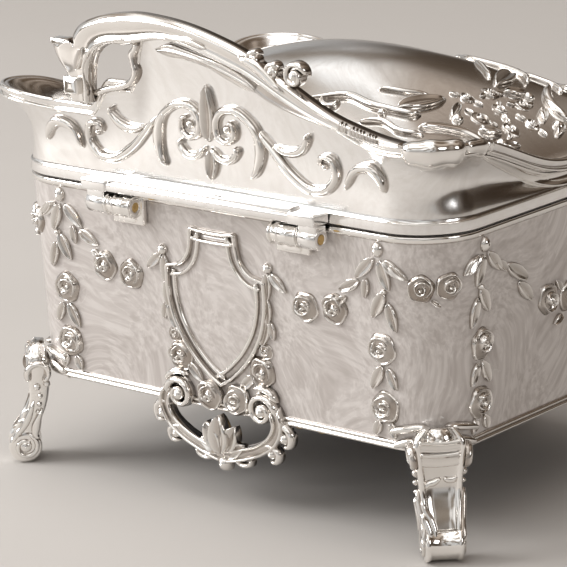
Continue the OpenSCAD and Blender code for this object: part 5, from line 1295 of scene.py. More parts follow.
def build_foot(mats, name, q, node):
    """Scroll foot: a strap with a sunken face between raised rims, two ledges under a shell, open volutes
    with pearls on its sides, a leaf that wraps its lower end, and a toe scroll at both ends of a drum."""
    place = at_corner(q)
    pile = Pile()
    lead = 1 if q % 2 == 0 else -1
    half_t, half_w = FOOT[:, 2:3] / 2, FOOT[:, 3:4] / 2
    share = [1.0, 1.0, 0.94, 0.86, 0.78, 0.7, 0.64, 0.3, 0.0]
    front = [0.1, 0.75, 1.08, 1.16, 1.1, 0.86, 0.72, 0.7, 0.7]
    v = np.array(share + [-x for x in share[-2::-1]] + [-1.0, -0.9, 0.0, 0.9, 1.0])[None, :]
    d = np.array(front + front[-2::-1] + [-0.7, -1.0, -1.0, -1.0, -0.7])[None, :]
    off, wide = half_t * d, half_w * v
    P = np.stack([FOOT[:, :1] + FOOT_N[:, :1] * off, wide, FOOT[:, 1:2] + FOOT_N[:, 1:] * off], -1)
    # the sunken face gets relief 0.72, a painted shade
    sunk = np.broadcast_to(np.where((d > 0.6) & (d < 0.9) & (abs(v) < 0.75), 0.72, 1.0), off.shape)
    pile.add(P, place, sunk)
    ang = np.linspace(0, TAU, 40, endpoint=False)[None, :]
    ys = np.array([-4.7, -4.7, -4.4, -4.0, -3.4, -3.1, 0, 3.1, 3.4, 4.0, 4.4, 4.7, 4.7])[:, None]
    rs = np.array([2.4, 3.9, 4.35, 4.45, 4.35, 4.05, 4.0, 4.05, 4.35, 4.45, 4.35, 3.9, 2.4])[:, None]
    pile.add(np.stack([8.4 + rs * np.cos(ang), ys + 0 * ang, 4.46 + rs * np.sin(ang)], -1), place)
    corner_s = (AROUND - CORNER_S, CORNER_S, 2 * SIDE_S - CORNER_S, 2 * SIDE_S + CORNER_S)[q]
    hug = lambda P: case_at(P[..., 0] + corner_s, P[..., 1], P[..., 2])
    for sy in (-1, 1):
        strap = lambda z: np.interp(z, FOOT[:, 1], FOOT[:, 3]) / 2
        side = lambda P: place(np.stack([P[..., 0], sy * (strap(P[..., 1]) + P[..., 2]), P[..., 1]], -1))
        flat = lambda P: place(np.stack([P[..., 0], sy * (4.55 + P[..., 2]), P[..., 1]], -1))
        pile.lay(strand(spiral((8.4, 4.5), 3.5, 0.8, 100, 600, 46, 0.75, 0.5), 0.9), flat)
        pile.lay(bead((8.4, 4.5), 1.7, 1.7, 1.2), flat)
        pile.lay(strand(spiral((3.95, 25.0), 3.3, 2.3, -40, 250, 34, 0.95, 0.7), 1.5, m=11, power=0.7), side)
        for x, z, r in ((2.0, 22.0, 1.0), (4.6, 21.2, 1.0), (3.9, 18.7, 0.75), (4.2, 16.4, 0.75),
                        (4.7, 14.2, 0.7)):
            pile.lay(bead((x, z), r, r, 1.1), side)
        for pts, h in (([[3.4, 15.2, 0.3], [4.6, 12.4, 0.9], [5.4, 9.8, 1.3], [5.6, 7.8, 0.9],
                         [4.4, 6.6, 0.4]], 1.3),
                       ([[5.6, 17.4, 0.4], [7.0, 13.4, 0.9], [8.4, 10.6, 1.0], [10.4, 8.2, 0.8],
                         [12.0, 5.6, 0.4]], 1.0)):
            pile.lay(strand(catmull(pts, 7), h), side)
        for pts, h in (([[2.2, 31.4, 0.6], [5.0, 31.2, 1.0], [8.4, 30.6, 1.1], [11.4, 30.0, 1.0],
                         [13.6, 29.2, 0.5]], 1.7),
                       ([[4.6, 28.4, 0.6], [7.6, 27.6, 1.0], [10.4, 26.6, 1.1], [12.4, 26.0, 0.6]], 1.8)):
            pile.lay(strand(catmull(np.array(pts) * [sy, 1, 1], 7), h), hug)

    def on_face(P):
        """x across the strap and y its height in millimetres, z out of its sunken face."""
        k = np.interp(P[..., 1], FOOT[:, 1], np.arange(len(FOOT)))
        take = lambda col: np.interp(k, np.arange(len(FOOT)), col)
        face = take(FOOT[:, 2]) / 2 * 0.7 + P[..., 2]
        return place(np.stack([take(FOOT[:, 0]) + take(FOOT_N[:, 0]) * face, P[..., 0],
                               take(FOOT[:, 1]) + take(FOOT_N[:, 1]) * face], -1))

    for z0, z1, top in ((29.3, 26.5, 1.9), (26.4, 22.9, 1.5)):
        x = np.linspace(-1, 1, 25)[:, None]
        half = 5.1 - 0.5 * (z0 < 28)
        u = np.array([0, 0.0, 0.06, 0.14, 0.3, 0.5, 0.7, 0.86, 0.96, 1.0])[None, :]
        h = np.array([-0.3, 0.85, 1.0, 0.95, 0.62, 0.45, 0.42, 0.5, 0.35, -0.3])[None, :]
        P = np.stack([half * x + 0 * u, z0 + (z1 - z0) * u + 0.35 * x ** 2, top * h + 0 * x], -1)
        # ledges: relief 0.8 below their crests, a light painted shade
        pile.add(P, on_face, np.broadcast_to(np.where(h > 0.7, 1.0, 0.8), P.shape[:2]))
    P, rel = bead((0, 0), 3.6, 4.0, 2.1, 10, 26)
    P = np.stack([P[..., 0], 29.2 + np.maximum(P[..., 1], 0), P[..., 2] - 0.4], -1)
    pile.add(P, on_face, rel)
    for x, z, r in ((-2.6, 31.0, 0.5), (-1.6, 30.0, 0.6), (1.9, 31.6, 0.4)):
        P, rel = bead((x, z), r, r, 0.6)
        # relief 0 gives these small beads the full dark shade colour of the silver finish, painted shade
        pile.add(P + [0, 0, 1.2], on_face, 0 * rel)
    for pts in ([[-3.6, 17.2, 0.4], [-3.0, 18.4, 0.8], [-1.6, 18.8, 0.9], [0.2, 20.0, 0.5]],
                [[3.8, 20.4, 0.4], [3.0, 19.4, 0.9], [1.6, 19.4, 0.8], [0.8, 20.2, 0.4]]):
        pile.lay(strand(catmull(np.array(pts) * [-lead, 1, 1], 6), 0.9), on_face)
    for pts, h in (([[5.0, 14.4, 0.4], [4.2, 12.0, 0.9], [3.0, 10.0, 1.0], [2.2, 7.6, 0.9],
                     [2.0, 4.8, 0.5]], 1.5),
                   ([[5.2, 11.4, 0.5], [4.4, 9.6, 1.2], [3.6, 7.6, 1.2], [3.2, 5.6, 0.6]], 1.9)):
        pile.lay(strand(catmull(np.array(pts) * [lead, 1, 1], 7), h), on_face)
    return put(name, pile, "case", mats["silver"], [node])


# ======== linings and mirror ========
LINING_OFF = WALL + TAPER * (SEAM - DECK_TOP) / CASE_H + 0.3
LID_IN = WALL + 2.5


def rect_ring(angle, w, d, r, z):
    """Loop round a rounded rectangle, point by point in the given directions from the middle."""
    reach = outline_reach(angle, w, d, r)
    return np.stack([reach * np.cos(angle), reach * np.sin(angle), np.broadcast_to(z, reach.shape)], -1)


def build_deck(mats):
    """Padded velvet deck: diamonds of quilting between stitched channels, rolled edges and a hole for the
    spindle. Each diamond swells with the square root of the product of two sine waves that run across
    each other."""
    angle = np.linspace(0, TAU, 300, endpoint=False)
    w, d, r = 2 * DECK_X - 0.3, 2 * DECK_Y - 0.3, CORNER_R - 5.6
    lo, hi = np.zeros_like(angle), np.full_like(angle, 140.0)
    for _ in range(26):
        mid = (lo + hi) / 2
        x, y = mid * np.cos(angle), SPINDLE_Y + mid * np.sin(angle)
        qx, qy = abs(x) - (w / 2 - r), abs(y) - (d / 2 - r)
        inside = np.hypot(np.maximum(qx, 0), np.maximum(qy, 0)) + np.minimum(np.maximum(qx, qy), 0) < r
        lo, hi = np.where(inside, mid, lo), np.where(inside, hi, mid)
    hole = 2.7

    def ring(share, z):
        far = hole + (lo - hole) * share
        return np.stack([far * np.cos(angle), SPINDLE_Y + far * np.sin(angle),
                         np.broadcast_to(z, far.shape)], -1)

    rows = [ring(0.0, DECK_TOP + 0.04), ring(0.5, DECK_TOP + 0.04), ring(0.997, DECK_TOP + 0.04),
            ring(1.0, DECK_TOP + 0.4)]
    for share in np.concatenate([np.linspace(1.0, 0.0, 90), [0.0]]):
        far = hole + (lo - hole) * share
        x, y = far * np.cos(angle), SPINDLE_Y + far * np.sin(angle)
        waves = abs(np.sin((x + y) * np.pi / 17) * np.sin((x - y) * np.pi / 17))
        edge = np.minimum((lo - far) / 2.4, (far - hole) / 1.6).clip(0, 1)
        z = DECK_TOP + 0.62 + 0.86 * (waves + 0.004) ** 0.5 * np.sqrt(1 - (1 - edge) ** 2)
        rows.append(np.stack([x, y, z], -1))
    pile = Pile().add(np.stack(rows), closed_u=True)
    deck = put("velvet_deck", pile, "case", mats["velvet"], ["deck_velvet"])
    return deck


def build_wall_lining(mats):
    """Padded lining of the case wall: upright pleats, each one half of a sine wave to the power 0.6,
    gathered at the top and the foot."""
    count = 880
    s = np.linspace(0, AROUND, count, endpoint=False)
    pleat = abs(np.sin(np.pi * s / AROUND * 74)) ** 0.6
    base, top = DECK_TOP + 0.05, SEAM - 1.2
    rows = [(0.0, base, 0.0), (0.0, (base + top) / 2, 0.0), (0.0, top - 0.3, 0.0), (0.5, top, 0.0),
            (1.0, top - 0.1, 0.15)]
    rows += [(1.0, top - 0.3 - (top - base - 0.6) * t, min(1.0, 4 * math.sin(math.pi * t) + 0.15))
             for t in np.linspace(0, 1, 22)]
    rows += [(1.0, base, 0.1)]
    grid = []
    for share, z, swell in rows:
        thick = share * (0.75 + 0.7 * swell * pleat)
        p, _ = plan(s, -LINING_OFF - thick)
        grid.append(np.concatenate([p, np.full((count, 1), z)], 1))
    pile = Pile().add(np.stack(grid), closed_u=True)
    lining = put("velvet_wall", pile, "case", mats["velvet"], ["wall_lining"])
    return lining


def build_lid_lining(mats):
    """Padded lining of the lid: pleats that run from the rim up to the mirror's frame, narrower as they
    climb."""
    count = 960
    angle = np.linspace(0, TAU, count, endpoint=False)
    pleat = abs(np.sin(angle * 38)) ** 0.6
    z0, z1 = SEAM + 0.75, MIRROR_Z - 0.02

    def loop(t, inset):
        foot = np.array([CASE_W - 2 * LID_IN, CASE_D - 2 * LID_IN, CORNER_R - LID_IN])
        w, d, r = foot * (1 - t) + np.array([MIRROR_W + 2, MIRROR_D + 2, 6]) * t
        reach = outline_reach(angle, w, d, r) - inset
        return np.stack([reach * np.cos(angle), reach * np.sin(angle), np.full(count, z0 + (z1 - z0) * t)], 1)

    grid = [loop(t, 0.05) for t in (0.0, 0.5, 0.98)] + [loop(1.0, 0.4), loop(1.0, 2.6)]
    for t in np.linspace(1, 0, 26):
        swell = min(1.0, 3.2 * math.sin(math.pi * t) + 0.05)
        grid.append(loop(t * 0.985 + 0.005, 2.2 + 1.15 * swell * pleat))
    grid.append(loop(0.0, 1.4))
    pile = Pile().add(np.stack(grid), closed_u=True)
    lining = put("velvet_lid", pile, "lid", mats["velvet"], ["lid_lining"])
    return lining


def build_mirror(mats):
    """Mirror with a bevelled edge, its face down, and the beaded frame that holds it."""
    angle = np.linspace(0, TAU, 220, endpoint=False)
    w, d, r = MIRROR_W, MIRROR_D, 4.0
    rows = [rect_ring(angle, (w - 5) * k, (d - 5) * k, 2.5 * k, MIRROR_Z + 0.02) for k in (0.05, 0.5, 1.0)]
    rows += [rect_ring(angle, w, d, r, MIRROR_Z + h) for h in (0.5, 1.4)]
    rows += [rect_ring(angle, (w - 0.5) * k, (d - 0.5) * k, 3.8 * k, MIRROR_Z + 1.58)
             for k in (1.0, 0.5, 0.05)]
    put("mirror_glass", Pile().add(np.stack(rows)), "lid", mats["mirror"], ["mirror"])
    path = rect_ring(angle, w - 6.2, d - 6.2, 3.2, MIRROR_Z - 0.15)
    beads = Pile().add(round_loop(path, 0.6 + 0.12 * np.cos(110 * angle)), closed_u=True)
    return put("mirror_frame", beads, "lid", mats["silver"])


# ======== dancer ========
TOE_Z, DANCER_H = 61.8, 26.0


def on_toe(P):
    """Stands a pattern (x, y, height over the toes) on the dancer's place."""
    return P + [0, SPINDLE_Y, TOE_Z]


def body_of(stations, m=28, n=6):
    """Skin through ellipses [x, y, z, half width, half depth]."""
    q = catmull(stations, n)
    a = np.linspace(0, TAU, m, endpoint=False)
    return np.stack([q[:, :1] + q[:, 3:4] * np.cos(a), q[:, 1:2] + q[:, 4:5] * np.sin(a),
                     q[:, 2:3] + 0 * a], -1)


def tapered(points, n=8, m=14):
    """Round limb through [x, y, z, radius] points."""
    q = catmull(points, n)
    return bar(q[:, :3], q[:, 3], m, up=(0, 1, 0))


def ball(c, rx, ry, rz, n=14, m=24, dent=None):
    """Ellipsoid, with dent adding to its radius as a function of the two angles."""
    a = np.linspace(0.04, 1 - 0.04, n)[:, None] * np.pi
    b = np.linspace(0, TAU, m, endpoint=False)[None, :]
    k = 1 + (dent(a, b) if dent else 0) + 0 * a * b
    return np.stack([c[0] + rx * k * np.sin(a) * np.cos(b), c[1] + ry * k * np.sin(a) * np.sin(b),
                     c[2] + rz * k * np.cos(a)], -1)


def build_dancer(mats):
    """Ballerina on the tips of her toes, her arms raised in a ring: limbs and head, bodice, hair and
    shoes."""
    h = DANCER_H
    limbs = Pile()
    for x0, y0, x1 in ((0.4, 0.0, 0.75), (-0.5, 0.3, -0.8)):
        limbs.add(tapered([[x0, y0, 1.6, 0.40], [x0, y0 + 0.05, 3.6, 0.46],
                           [x0 * 0.9 + x1 * 0.1, y0 + 0.22, 5.4, 0.70], [x1 * 0.8, y0 * 0.5, 7.6, 0.55],
                          [x1, 0.0, 9.6, 0.84], [x1, 0.0, h * 0.42, 0.98]]), on_toe)
    limbs.add(body_of([[0, 0, h * 0.53, 1.52, 1.06], [0, -0.05, h * 0.565, 1.62, 1.0],
                       [0, 0, h * 0.595, 1.78, 0.82], [0, 0, h * 0.615, 1.35, 0.72],
                       [0, 0, h * 0.63, 0.62, 0.58],
                      [0, -0.02, h * 0.66, 0.5, 0.52], [0, 0, h * 0.69, 0.56, 0.6]]), on_toe)
    for sx in (-1, 1):
        limbs.add(tapered([[sx * 1.45, 0, h * 0.595, 0.5], [sx * 2.5, -0.4, h * 0.66, 0.47],
                           [sx * 3.4, -0.8, h * 0.77, 0.41], [sx * 2.7, -0.95, h * 0.88, 0.36],
                          [sx * 1.3, -1.0, h * 0.955, 0.27], [sx * 0.75, -1.0, h * 0.968, 0.3],
                          [sx * 0.3, -1.02, h * 0.972, 0.16]]), on_toe)

    def face(a, b):
        """Nose and lips, less the hollows of the eyes."""
        front = np.mod(b, TAU) - 1.5 * np.pi
        hollows = bell(front - 0.4, 0.2) + bell(front + 0.4, 0.2)
        return (0.075 * bell(a - 1.72, 0.16) * bell(front, 0.13)
                + 0.03 * bell(a - 2.12, 0.12) * bell(front, 0.3)
                - 0.035 * bell(a - 1.52, 0.12) * hollows)

    limbs.add(ball((0, 0, h * 0.72), 1.16, 1.28, 1.56, 40, 64, face), on_toe)
    put("dancer_skin", limbs, "turntable", mats["skin"], ["dancer_figure"])
    dress = Pile()
    dress.add(body_of([[0, 0, h * 0.385, 1.75, 1.45], [0, 0, h * 0.405, 1.98, 1.62],
                       [0, 0, h * 0.43, 1.82, 1.42], [0, 0, h * 0.475, 1.28, 1.02],
                       [0, -0.06, h * 0.52, 1.58, 1.16],
                       [0, -0.12, h * 0.55, 1.70, 1.22], [0, -0.04, h * 0.562, 1.55, 1.02]]), on_toe)
    for x0, y0 in ((0.4, 0.0), (-0.5, 0.3)):
        dress.add(tapered([[x0, y0, 0.42, 0.26], [x0, y0, 0.8, 0.36], [x0, y0, 1.7, 0.47],
                           [x0, y0, 2.2, 0.44]]), on_toe)
        for z in (2.5, 3.0):
            ribbon = [[x0 + 0.44 * math.cos(t), y0 + 0.44 * math.sin(t), z + 0.12 * math.sin(t)]
                      for t in np.linspace(0, TAU, 20, endpoint=False)]
            dress.add(round_loop(np.array(ribbon), 0.07, 6), on_toe, closed_u=True)
    dress.add(body_of([[0, 0, -4.8, 1.0, 1.0], [0, 0, -4.6, 1.24, 1.24], [0, 0, 0.1, 1.24, 1.24]], 24, 3),
              on_toe)
    dress.add(body_of([[0, 0, 0.0, 2.0, 2.0], [0, 0, 0.06, 2.22, 2.22], [0, 0, 0.42, 2.22, 2.22],
                       [0, 0, 0.5, 2.0, 2.0]], 40, 3), on_toe)
    put("dancer_bodice", dress, "turntable", mats["satin_pink"])
    hair = Pile()

    def cap(a, b):
        """Combed hair, cut back over the face and at the nape."""
        combed = 0.012 * np.cos(26 * b) * np.sin(a)
        brow = smooth(0.55, 0.95, np.sin(a) * -np.sin(b) + 0.25 * (a - 1.2))
        return 0.02 + combed - 0.30 * brow - 0.3 * smooth(2.0, 2.5, a)

    hair.add(ball((0, 0.06, h * 0.724), 1.22, 1.36, 1.62, 34, 60, cap), on_toe)
    hair.add(ball((0, 0.62, h * 0.79), 0.68, 0.64, 0.56, 16, 30, lambda a, b: 0.05 * np.cos(5 * b + 6 * a)),
             on_toe)
    put("dancer_hair", hair, "turntable", mats["hair"])
    eyes = Pile()
    for sx in (-1, 1):
        line = np.array([[sx * (0.26 + 0.3 * t), -1.17 + 0.30 * t * t,
                          h * 0.726 - 0.05 * math.sin(math.pi * t)] for t in np.linspace(0, 1, 8)])
        eyes.add(on_toe(bar(line, 0.045, 6, taper=2)))
        brow = line + [0, 0.0, 0.30]
        eyes.add(on_toe(bar(brow, 0.035, 6, taper=2)))
    put("dancer_lashes", eyes, "turntable", mats["hair"])
    lips = Pile().add(on_toe(bar(np.array([[x, -1.13 + 0.35 * x * x, h * 0.697 + 0.3 * x * x]
                                           for x in np.linspace(-0.26, 0.26, 9)]), 0.07, 8, taper=3)))
    put("dancer_lips", lips, "turntable", mats["lips"])


class Sheet(Pile):
    """A pile whose grids stay open at both edges, as cloth does."""

    def add(self, P, place=None, relief=None):
        if place is not None:
            P = place(P)
        n, m = P.shape[:2]
        k = np.arange(n * m).reshape(n, m)
        k = np.column_stack([k, k[:, 0]])
        Q = np.stack([k[:-1, :-1], k[1:, :-1], k[1:, 1:], k[:-1, 1:]], -1).reshape(-1, 4)
        self.V.append(P.reshape(-1, 3))
        self.Q.append(Q + self.count)
        self.T.append(np.zeros((0, 3), int))
        self.R.append(np.ones(n * m))
        self.count += n * m
        return self


def build_tutu(mats):
    """Three gathered layers of tulle from the hips: each is a ring whose height ripples with the angle, more
    towards its hem. A layer's flat area is summed over the layer itself."""
    m, n = 300, 16
    a = np.linspace(0, TAU, m, endpoint=False)[None, :]
    for k, (lift, droop, reach, waves) in enumerate(((1.15, -0.5, 10.3, 22), (0.7, -0.35, 10.0, 26),
                                                     (0.2, -0.45, 9.6, 19))):
        t = np.linspace(0, 1, n)[:, None]
        r = 2.2 + (reach - 2.2) * t + 0.12 * t * np.cos(waves * a + k)
        z = lift + droop * t ** 1.6 + 0.34 * t ** 1.3 * np.sin(waves * a + 2 * k) * (1 - 0.25 * (k == 0))
        P = np.stack([r * np.cos(a), r * np.sin(a), z + DANCER_H * 0.41], -1)
        across, along = np.diff(P, axis=0), np.roll(P, -1, 1) - P
        area = np.linalg.norm(np.cross(across, along[:-1]), axis=-1).sum() * MM * MM
        obj = put("tutu_layer_%d" % (k + 1), Sheet().add(P, on_toe), "turntable", mats["tulle"],
                  ["dancer_tutu"] if k == 0 else ())


# ======== stage ========
def build_stage(c):
    """Pale floor, a studio world that is bright overhead and darker to one side, and three soft lamps."""
    scene = bpy.context.scene
    bpy.ops.mesh.primitive_plane_add(size=8, location=(0, 0, 0))
    floor = bpy.context.object
    floor.name = "floor"
    m, t, b, place = material("floor_paper")
    f = noise(t, place, 18.0, 3.0, 0.5)
    base = tuple(c.floor)
    wire(t, (mix_colour(t, f, tuple(x * 0.97 for x in base), base), b.inputs["Base Color"]))
    b.inputs["Roughness"].default_value = 0.75
    floor.data.materials.append(m)
    world = bpy.data.worlds.new("studio")
    scene.world = world
    world.use_nodes = True
    t = world.node_tree
    back = t.nodes["Background"]
    ray = t.nodes.new("ShaderNodeTexCoord").outputs["Generated"]
    split = t.nodes.new("ShaderNodeSeparateXYZ")
    wire(t, (ray, split.inputs[0]))
    up = ramp(t, [(0.0, 0.22), (0.49, 0.42), (0.54, 0.36), (0.60, 0.36), (0.70, 0.58), (0.82, 0.95),
                  (1.0, 1.15)])
    wire(t, (maths(t, "MULTIPLY_ADD", split.outputs[2], 0.5, 0.5), up.inputs[0]))
    facing = maths(t, "MULTIPLY_ADD", split.outputs[0], 0.32,
                   maths(t, "MULTIPLY_ADD", split.outputs[1], 0.38, 0.5))
    side = ramp(t, [(0.05, (0.20, 0.155, 0.12)), (0.34, (0.34, 0.285, 0.24)), (0.44, (0.80, 0.78, 0.76)),
                    (0.62, (0.98, 0.96, 0.94)), (0.95, (1.5, 1.5, 1.5))])
    around = add(t, "ShaderNodeTexNoise", Scale=3.4, Detail=1.5)
    wire(t, (ray, around.inputs["Vector"]), (facing, side.inputs[0]))
    patches = ramp(t, [(0.41, (0.42, 0.36, 0.30)), (0.5, 1.0), (0.60, 1.45)])
    wire(t, (around.outputs["Fac"], patches.inputs[0]))
    sky = mix_colour(t, 1.0, up.outputs[0], side.outputs[0], "MULTIPLY")
    wire(t, (mix_colour(t, 1.0, sky, patches.outputs[0], "MULTIPLY"), back.inputs["Color"]))
    back.inputs["Strength"].default_value = c.world_level
    for name, place, aim, size, power in (("key", (0.85, 0.66, 0.62), (0.1, 0.05, 0.05), 0.6, 11.5),
                                          ("fill", (-1.5, 0.1, 0.7), (0, 0, 0.05), 0.5, 2.8),
                                          ("top", (0.3, 0.05, 1.5), (0, 0, 0.06), 0.9, 4.8)):
        lamp = bpy.data.lights.new(name, "AREA")
        lamp.energy = power
        lamp.shape = "SQUARE"
        lamp.size = size
        o = bpy.data.objects.new(name, lamp)
        o.location = place
        o.rotation_euler = (Vector(place) - Vector(aim)).to_track_quat("Z", "Y").to_euler()
        scene.collection.objects.link(o)
    scene.view_settings.view_transform = "Standard"


def aim_camera(c):
    """Camera from its azimuth, elevation, roll, distance and lens; target is the point that its axis is
    measured from."""
    a, e, roll = c.azimuth, c.elevation, c.roll
    back = np.array([math.sin(a) * math.cos(e), -math.cos(a) * math.cos(e), math.sin(e)])
    right = np.array([math.cos(a), math.sin(a), 0.0])
    up = np.cross(back, right)
    r = math.cos(roll) * right + math.sin(roll) * up
    u = math.cos(roll) * up - math.sin(roll) * right
    at = np.array(c.target) + c.distance * back
    cam = bpy.data.cameras.new("camera")
    cam.lens = c.lens
    cam.sensor_width = 36.0
    cam.clip_start, cam.clip_end = 0.01, 50
    o = bpy.data.objects.new("camera", cam)
    o.matrix_world = Matrix([[r[0], u[0], back[0], at[0]], [r[1], u[1], back[1], at[1]],
                             [r[2], u[2], back[2], at[2]], [0, 0, 0, 1]])
    bpy.context.scene.collection.objects.link(o)
    bpy.context.scene.camera = o


# ======== settings ========
def colour(label, text, value):
    """A colour that the user can change."""
    return FloatVectorProperty(name=label, description=text, subtype="COLOR", size=3, min=0, max=1,
                               default=value)


def length(label, text, value):
    """A length in metres that the user can change."""
    return FloatProperty(name=label, description=text, unit="LENGTH", min=0, precision=5, default=value)


class CasketSizes(bpy.types.PropertyGroup):
    """Sizes of the silver mouldings"""
    ridge: length("Bottom ridge", "How far the twin silver ridges stand out of the wall", 0.0009)
    lip: length("Lip", "How far the silver lip under the seam stands out", 0.0006)
    rim_roll: length("Rim roll", "Radius of the rolled silver edge on the lid", 0.0008)


class CasketColours(bpy.types.PropertyGroup):
    """Colours of the finishes"""
    enamel_deep: colour("Enamel", "Warm enamel between the strokes", (0.47, 0.425, 0.40))
    enamel_pearl: colour("Pearl", "Pearl strokes in the enamel", (0.69, 0.65, 0.625))
    silver_bright: colour("Silver", "Plate on the crests of the relief", (0.95, 0.93, 0.90))
    # painted shade and tarnish colour that the silver takes where its relief is low
    silver_shade: colour("Silver shade", "Plate in the recesses", (0.20, 0.145, 0.10))
    satin_dark: colour("Lid plate", "Brush marks on the lid", (0.89, 0.87, 0.85))
    satin_bright: colour("Lid plate, bright", "Lid between the brush marks", (0.97, 0.965, 0.955))
    velvet: colour("Velvet", "Lining and deck", (0.62, 0.50, 0.42))
    velvet_brushed: colour("Brushed velvet", "Lining where the pile lies flat", (0.80, 0.70, 0.62))
    felt: colour("Felt", "Underside of the base", (0.05, 0.05, 0.06))
    brass: colour("Brass", "Movement plates, wheels and hinge pins", (0.75, 0.53, 0.23))
    steel: colour("Steel", "Comb, screws and springs", (0.52, 0.52, 0.54))
    wood: colour("Board", "Deck board under the velvet", (0.45, 0.28, 0.14))
    skin: colour("Skin", "The dancer's skin", (0.80, 0.56, 0.43))
    tulle: colour("Tulle", "The dancer's tutu", (0.93, 0.72, 0.76))


class CasketStage(bpy.types.PropertyGroup):
    """Floor, world and camera"""
    floor: colour("Floor", "Colour of the floor", (0.50, 0.475, 0.45))
    world_level: FloatProperty(name="World", description="Level of the world's light", min=0, default=1.0)
    azimuth: FloatProperty(name="Azimuth", description="Camera's turn about the casket", subtype="ANGLE",
                           default=math.radians(219.747))
    elevation: FloatProperty(name="Elevation", description="Camera's height over the horizon",
                             subtype="ANGLE", default=math.radians(15.219))
    roll: FloatProperty(name="Roll", description="Camera's turn about its own axis", subtype="ANGLE",
                        default=math.radians(-1.684))
    distance: FloatProperty(name="Distance", description="Camera's distance from its target", unit="LENGTH",
                            default=0.78313)
    lens: FloatProperty(name="Lens", description="Focal length in millimetres", default=198.73)
    target: FloatVectorProperty(name="Target", description="Point on the camera's axis",
                                subtype="TRANSLATION", size=3, default=(-0.0121363, 0.0426091, 0.0578896))


def make_finishes(c):
    """Every finish by name, from the colours."""
    m = {
        "enamel": enamel("pearl_enamel", c.enamel_deep, c.enamel_pearl),
        "silver": silver("silver_plate", c.silver_bright, c.silver_shade),
        "satin": satin("satin_plate", c.satin_dark, c.satin_bright),
        "velvet": cloth("velvet", c.velvet, c.velvet_brushed),
        "felt": cloth("base_felt", c.felt, tuple(x * 1.6 for x in c.felt), 3200.0, 0.3),
        "brass": plain("brass", c.brass, 0.28, 1.0, 900.0, 0.1),
        "steel": plain("steel", c.steel, 0.3, 1.0, 1200.0, 0.1),
        "wood": plain("deck_wood", c.wood, 0.6, 0.0, 160.0, 0.25, stretch=(0.15, 1, 1)),
        "skin": plain("dancer_skin", c.skin, 0.35, 0.0, 500.0, 0.05, 0.4),
        "satin_pink": plain("bodice_satin", tuple(x * y for x, y in zip(c.tulle, (0.95, 0.85, 0.88))), 0.3,
                            0.0, 700.0, 0.06, 0.5),
        "hair": plain("dancer_hair", (0.10, 0.05, 0.03), 0.4, 0.0, 2200.0, 0.4, stretch=(1, 1, 0.2)),
        "lips": plain("dancer_lips", (0.55, 0.12, 0.12), 0.35, 0.0, 900.0, 0.05, 0.3),
        "tulle": cloth("tulle", c.tulle, tuple(min(1, x * 1.08) for x in c.tulle), 5200.0, 0.4),
        "mirror": plain("mirror_glass", (0.92, 0.93, 0.93), 0.13, 1.0, 40.0, 0.01, 1.0),
    }
    return m


FINISH = {}


def finishes():
    """The finishes, made once in a session."""
    if not FINISH:
        FINISH.update(make_finishes(bpy.context.scene.casket_colours))
    return FINISH


# ======== operators ========
class CasketOperator:
    """What the operators share"""
    bl_options = {"REGISTER", "UNDO"}


class CASKET_OT_case(CasketOperator, bpy.types.Operator):
    """Builds the case wall and its silver mouldings"""
    bl_idname = "casket.case"
    bl_label = "Case"

    def execute(self, context):
        z = context.scene.casket_sizes
        build_case_wall(finishes())
        build_case_trim(finishes(), z.ridge / MM, z.lip / MM)
        return {"FINISHED"}


class CASKET_OT_lid(CasketOperator, bpy.types.Operator):
    """Builds the lid, its rolled rim, its relief and its dome"""
    bl_idname = "casket.lid"
    bl_label = "Lid"

    def execute(self, context):
        z = context.scene.casket_sizes
        build_lid_wall(finishes())
        build_lid_rim(finishes(), z.rim_roll / MM)
        build_lid_relief(finishes())
        build_dome_relief(finishes())
        return {"FINISHED"}


class CASKET_OT_crest(CasketOperator, bpy.types.Operator):
    """Builds the pierced crest on the back rim"""
    bl_idname = "casket.crest"
    bl_label = "Crest"

    def execute(self, context):
        build_crest(finishes())
        return {"FINISHED"}


class CASKET_OT_shields(CasketOperator, bpy.types.Operator):
    """Builds the shields and the pierced aprons of the back and front"""
    bl_idname = "casket.shields"
    bl_label = "Shields and aprons"

    def execute(self, context):
        for side, s0 in (("back", 0.0), ("front", 2 * SIDE_S)):
            build_shield(finishes(), side + "_shield", s0, side + "_cartouche")
            build_apron(finishes(), side + "_apron", s0)
        return {"FINISHED"}


class CASKET_OT_hinge(CasketOperator, bpy.types.Operator):
    """Builds the hinge's bar and sleeves"""
    bl_idname = "casket.hinge"
    bl_label = "Hinge"

    def execute(self, context):
        build_hinge(finishes())
        return {"FINISHED"}


class CASKET_OT_garlands(CasketOperator, bpy.types.Operator):
    """Builds the garlands of beads, leaves and roses on the four walls and round the corners"""
    bl_idname = "casket.garlands"
    bl_label = "Garlands"

    def execute(self, context):
        for side, s0 in (("back", 0.0), ("front", 2 * SIDE_S)):
            build_garlands(finishes(), side, s0, side + "_garlands")
        build_side_garlands(finishes())
        build_corner_garlands(finishes())
        return {"FINISHED"}


class CASKET_OT_feet(CasketOperator, bpy.types.Operator):
    """Builds the four scroll feet"""
    bl_idname = "casket.feet"
    bl_label = "Feet"

    def execute(self, context):
        for q, corner in enumerate(("back_right", "back_left", "front_left", "front_right")):
            build_foot(finishes(), "scroll_foot_" + corner, q, FOOT_NODES[q])
        return {"FINISHED"}


# the nodes from the +X +Y corner on, named as seen from behind, where the pieces are as seen from the front
FOOT_NODES = ("foot_back_left", "foot_back_right", "foot_front_right", "foot_front_left")


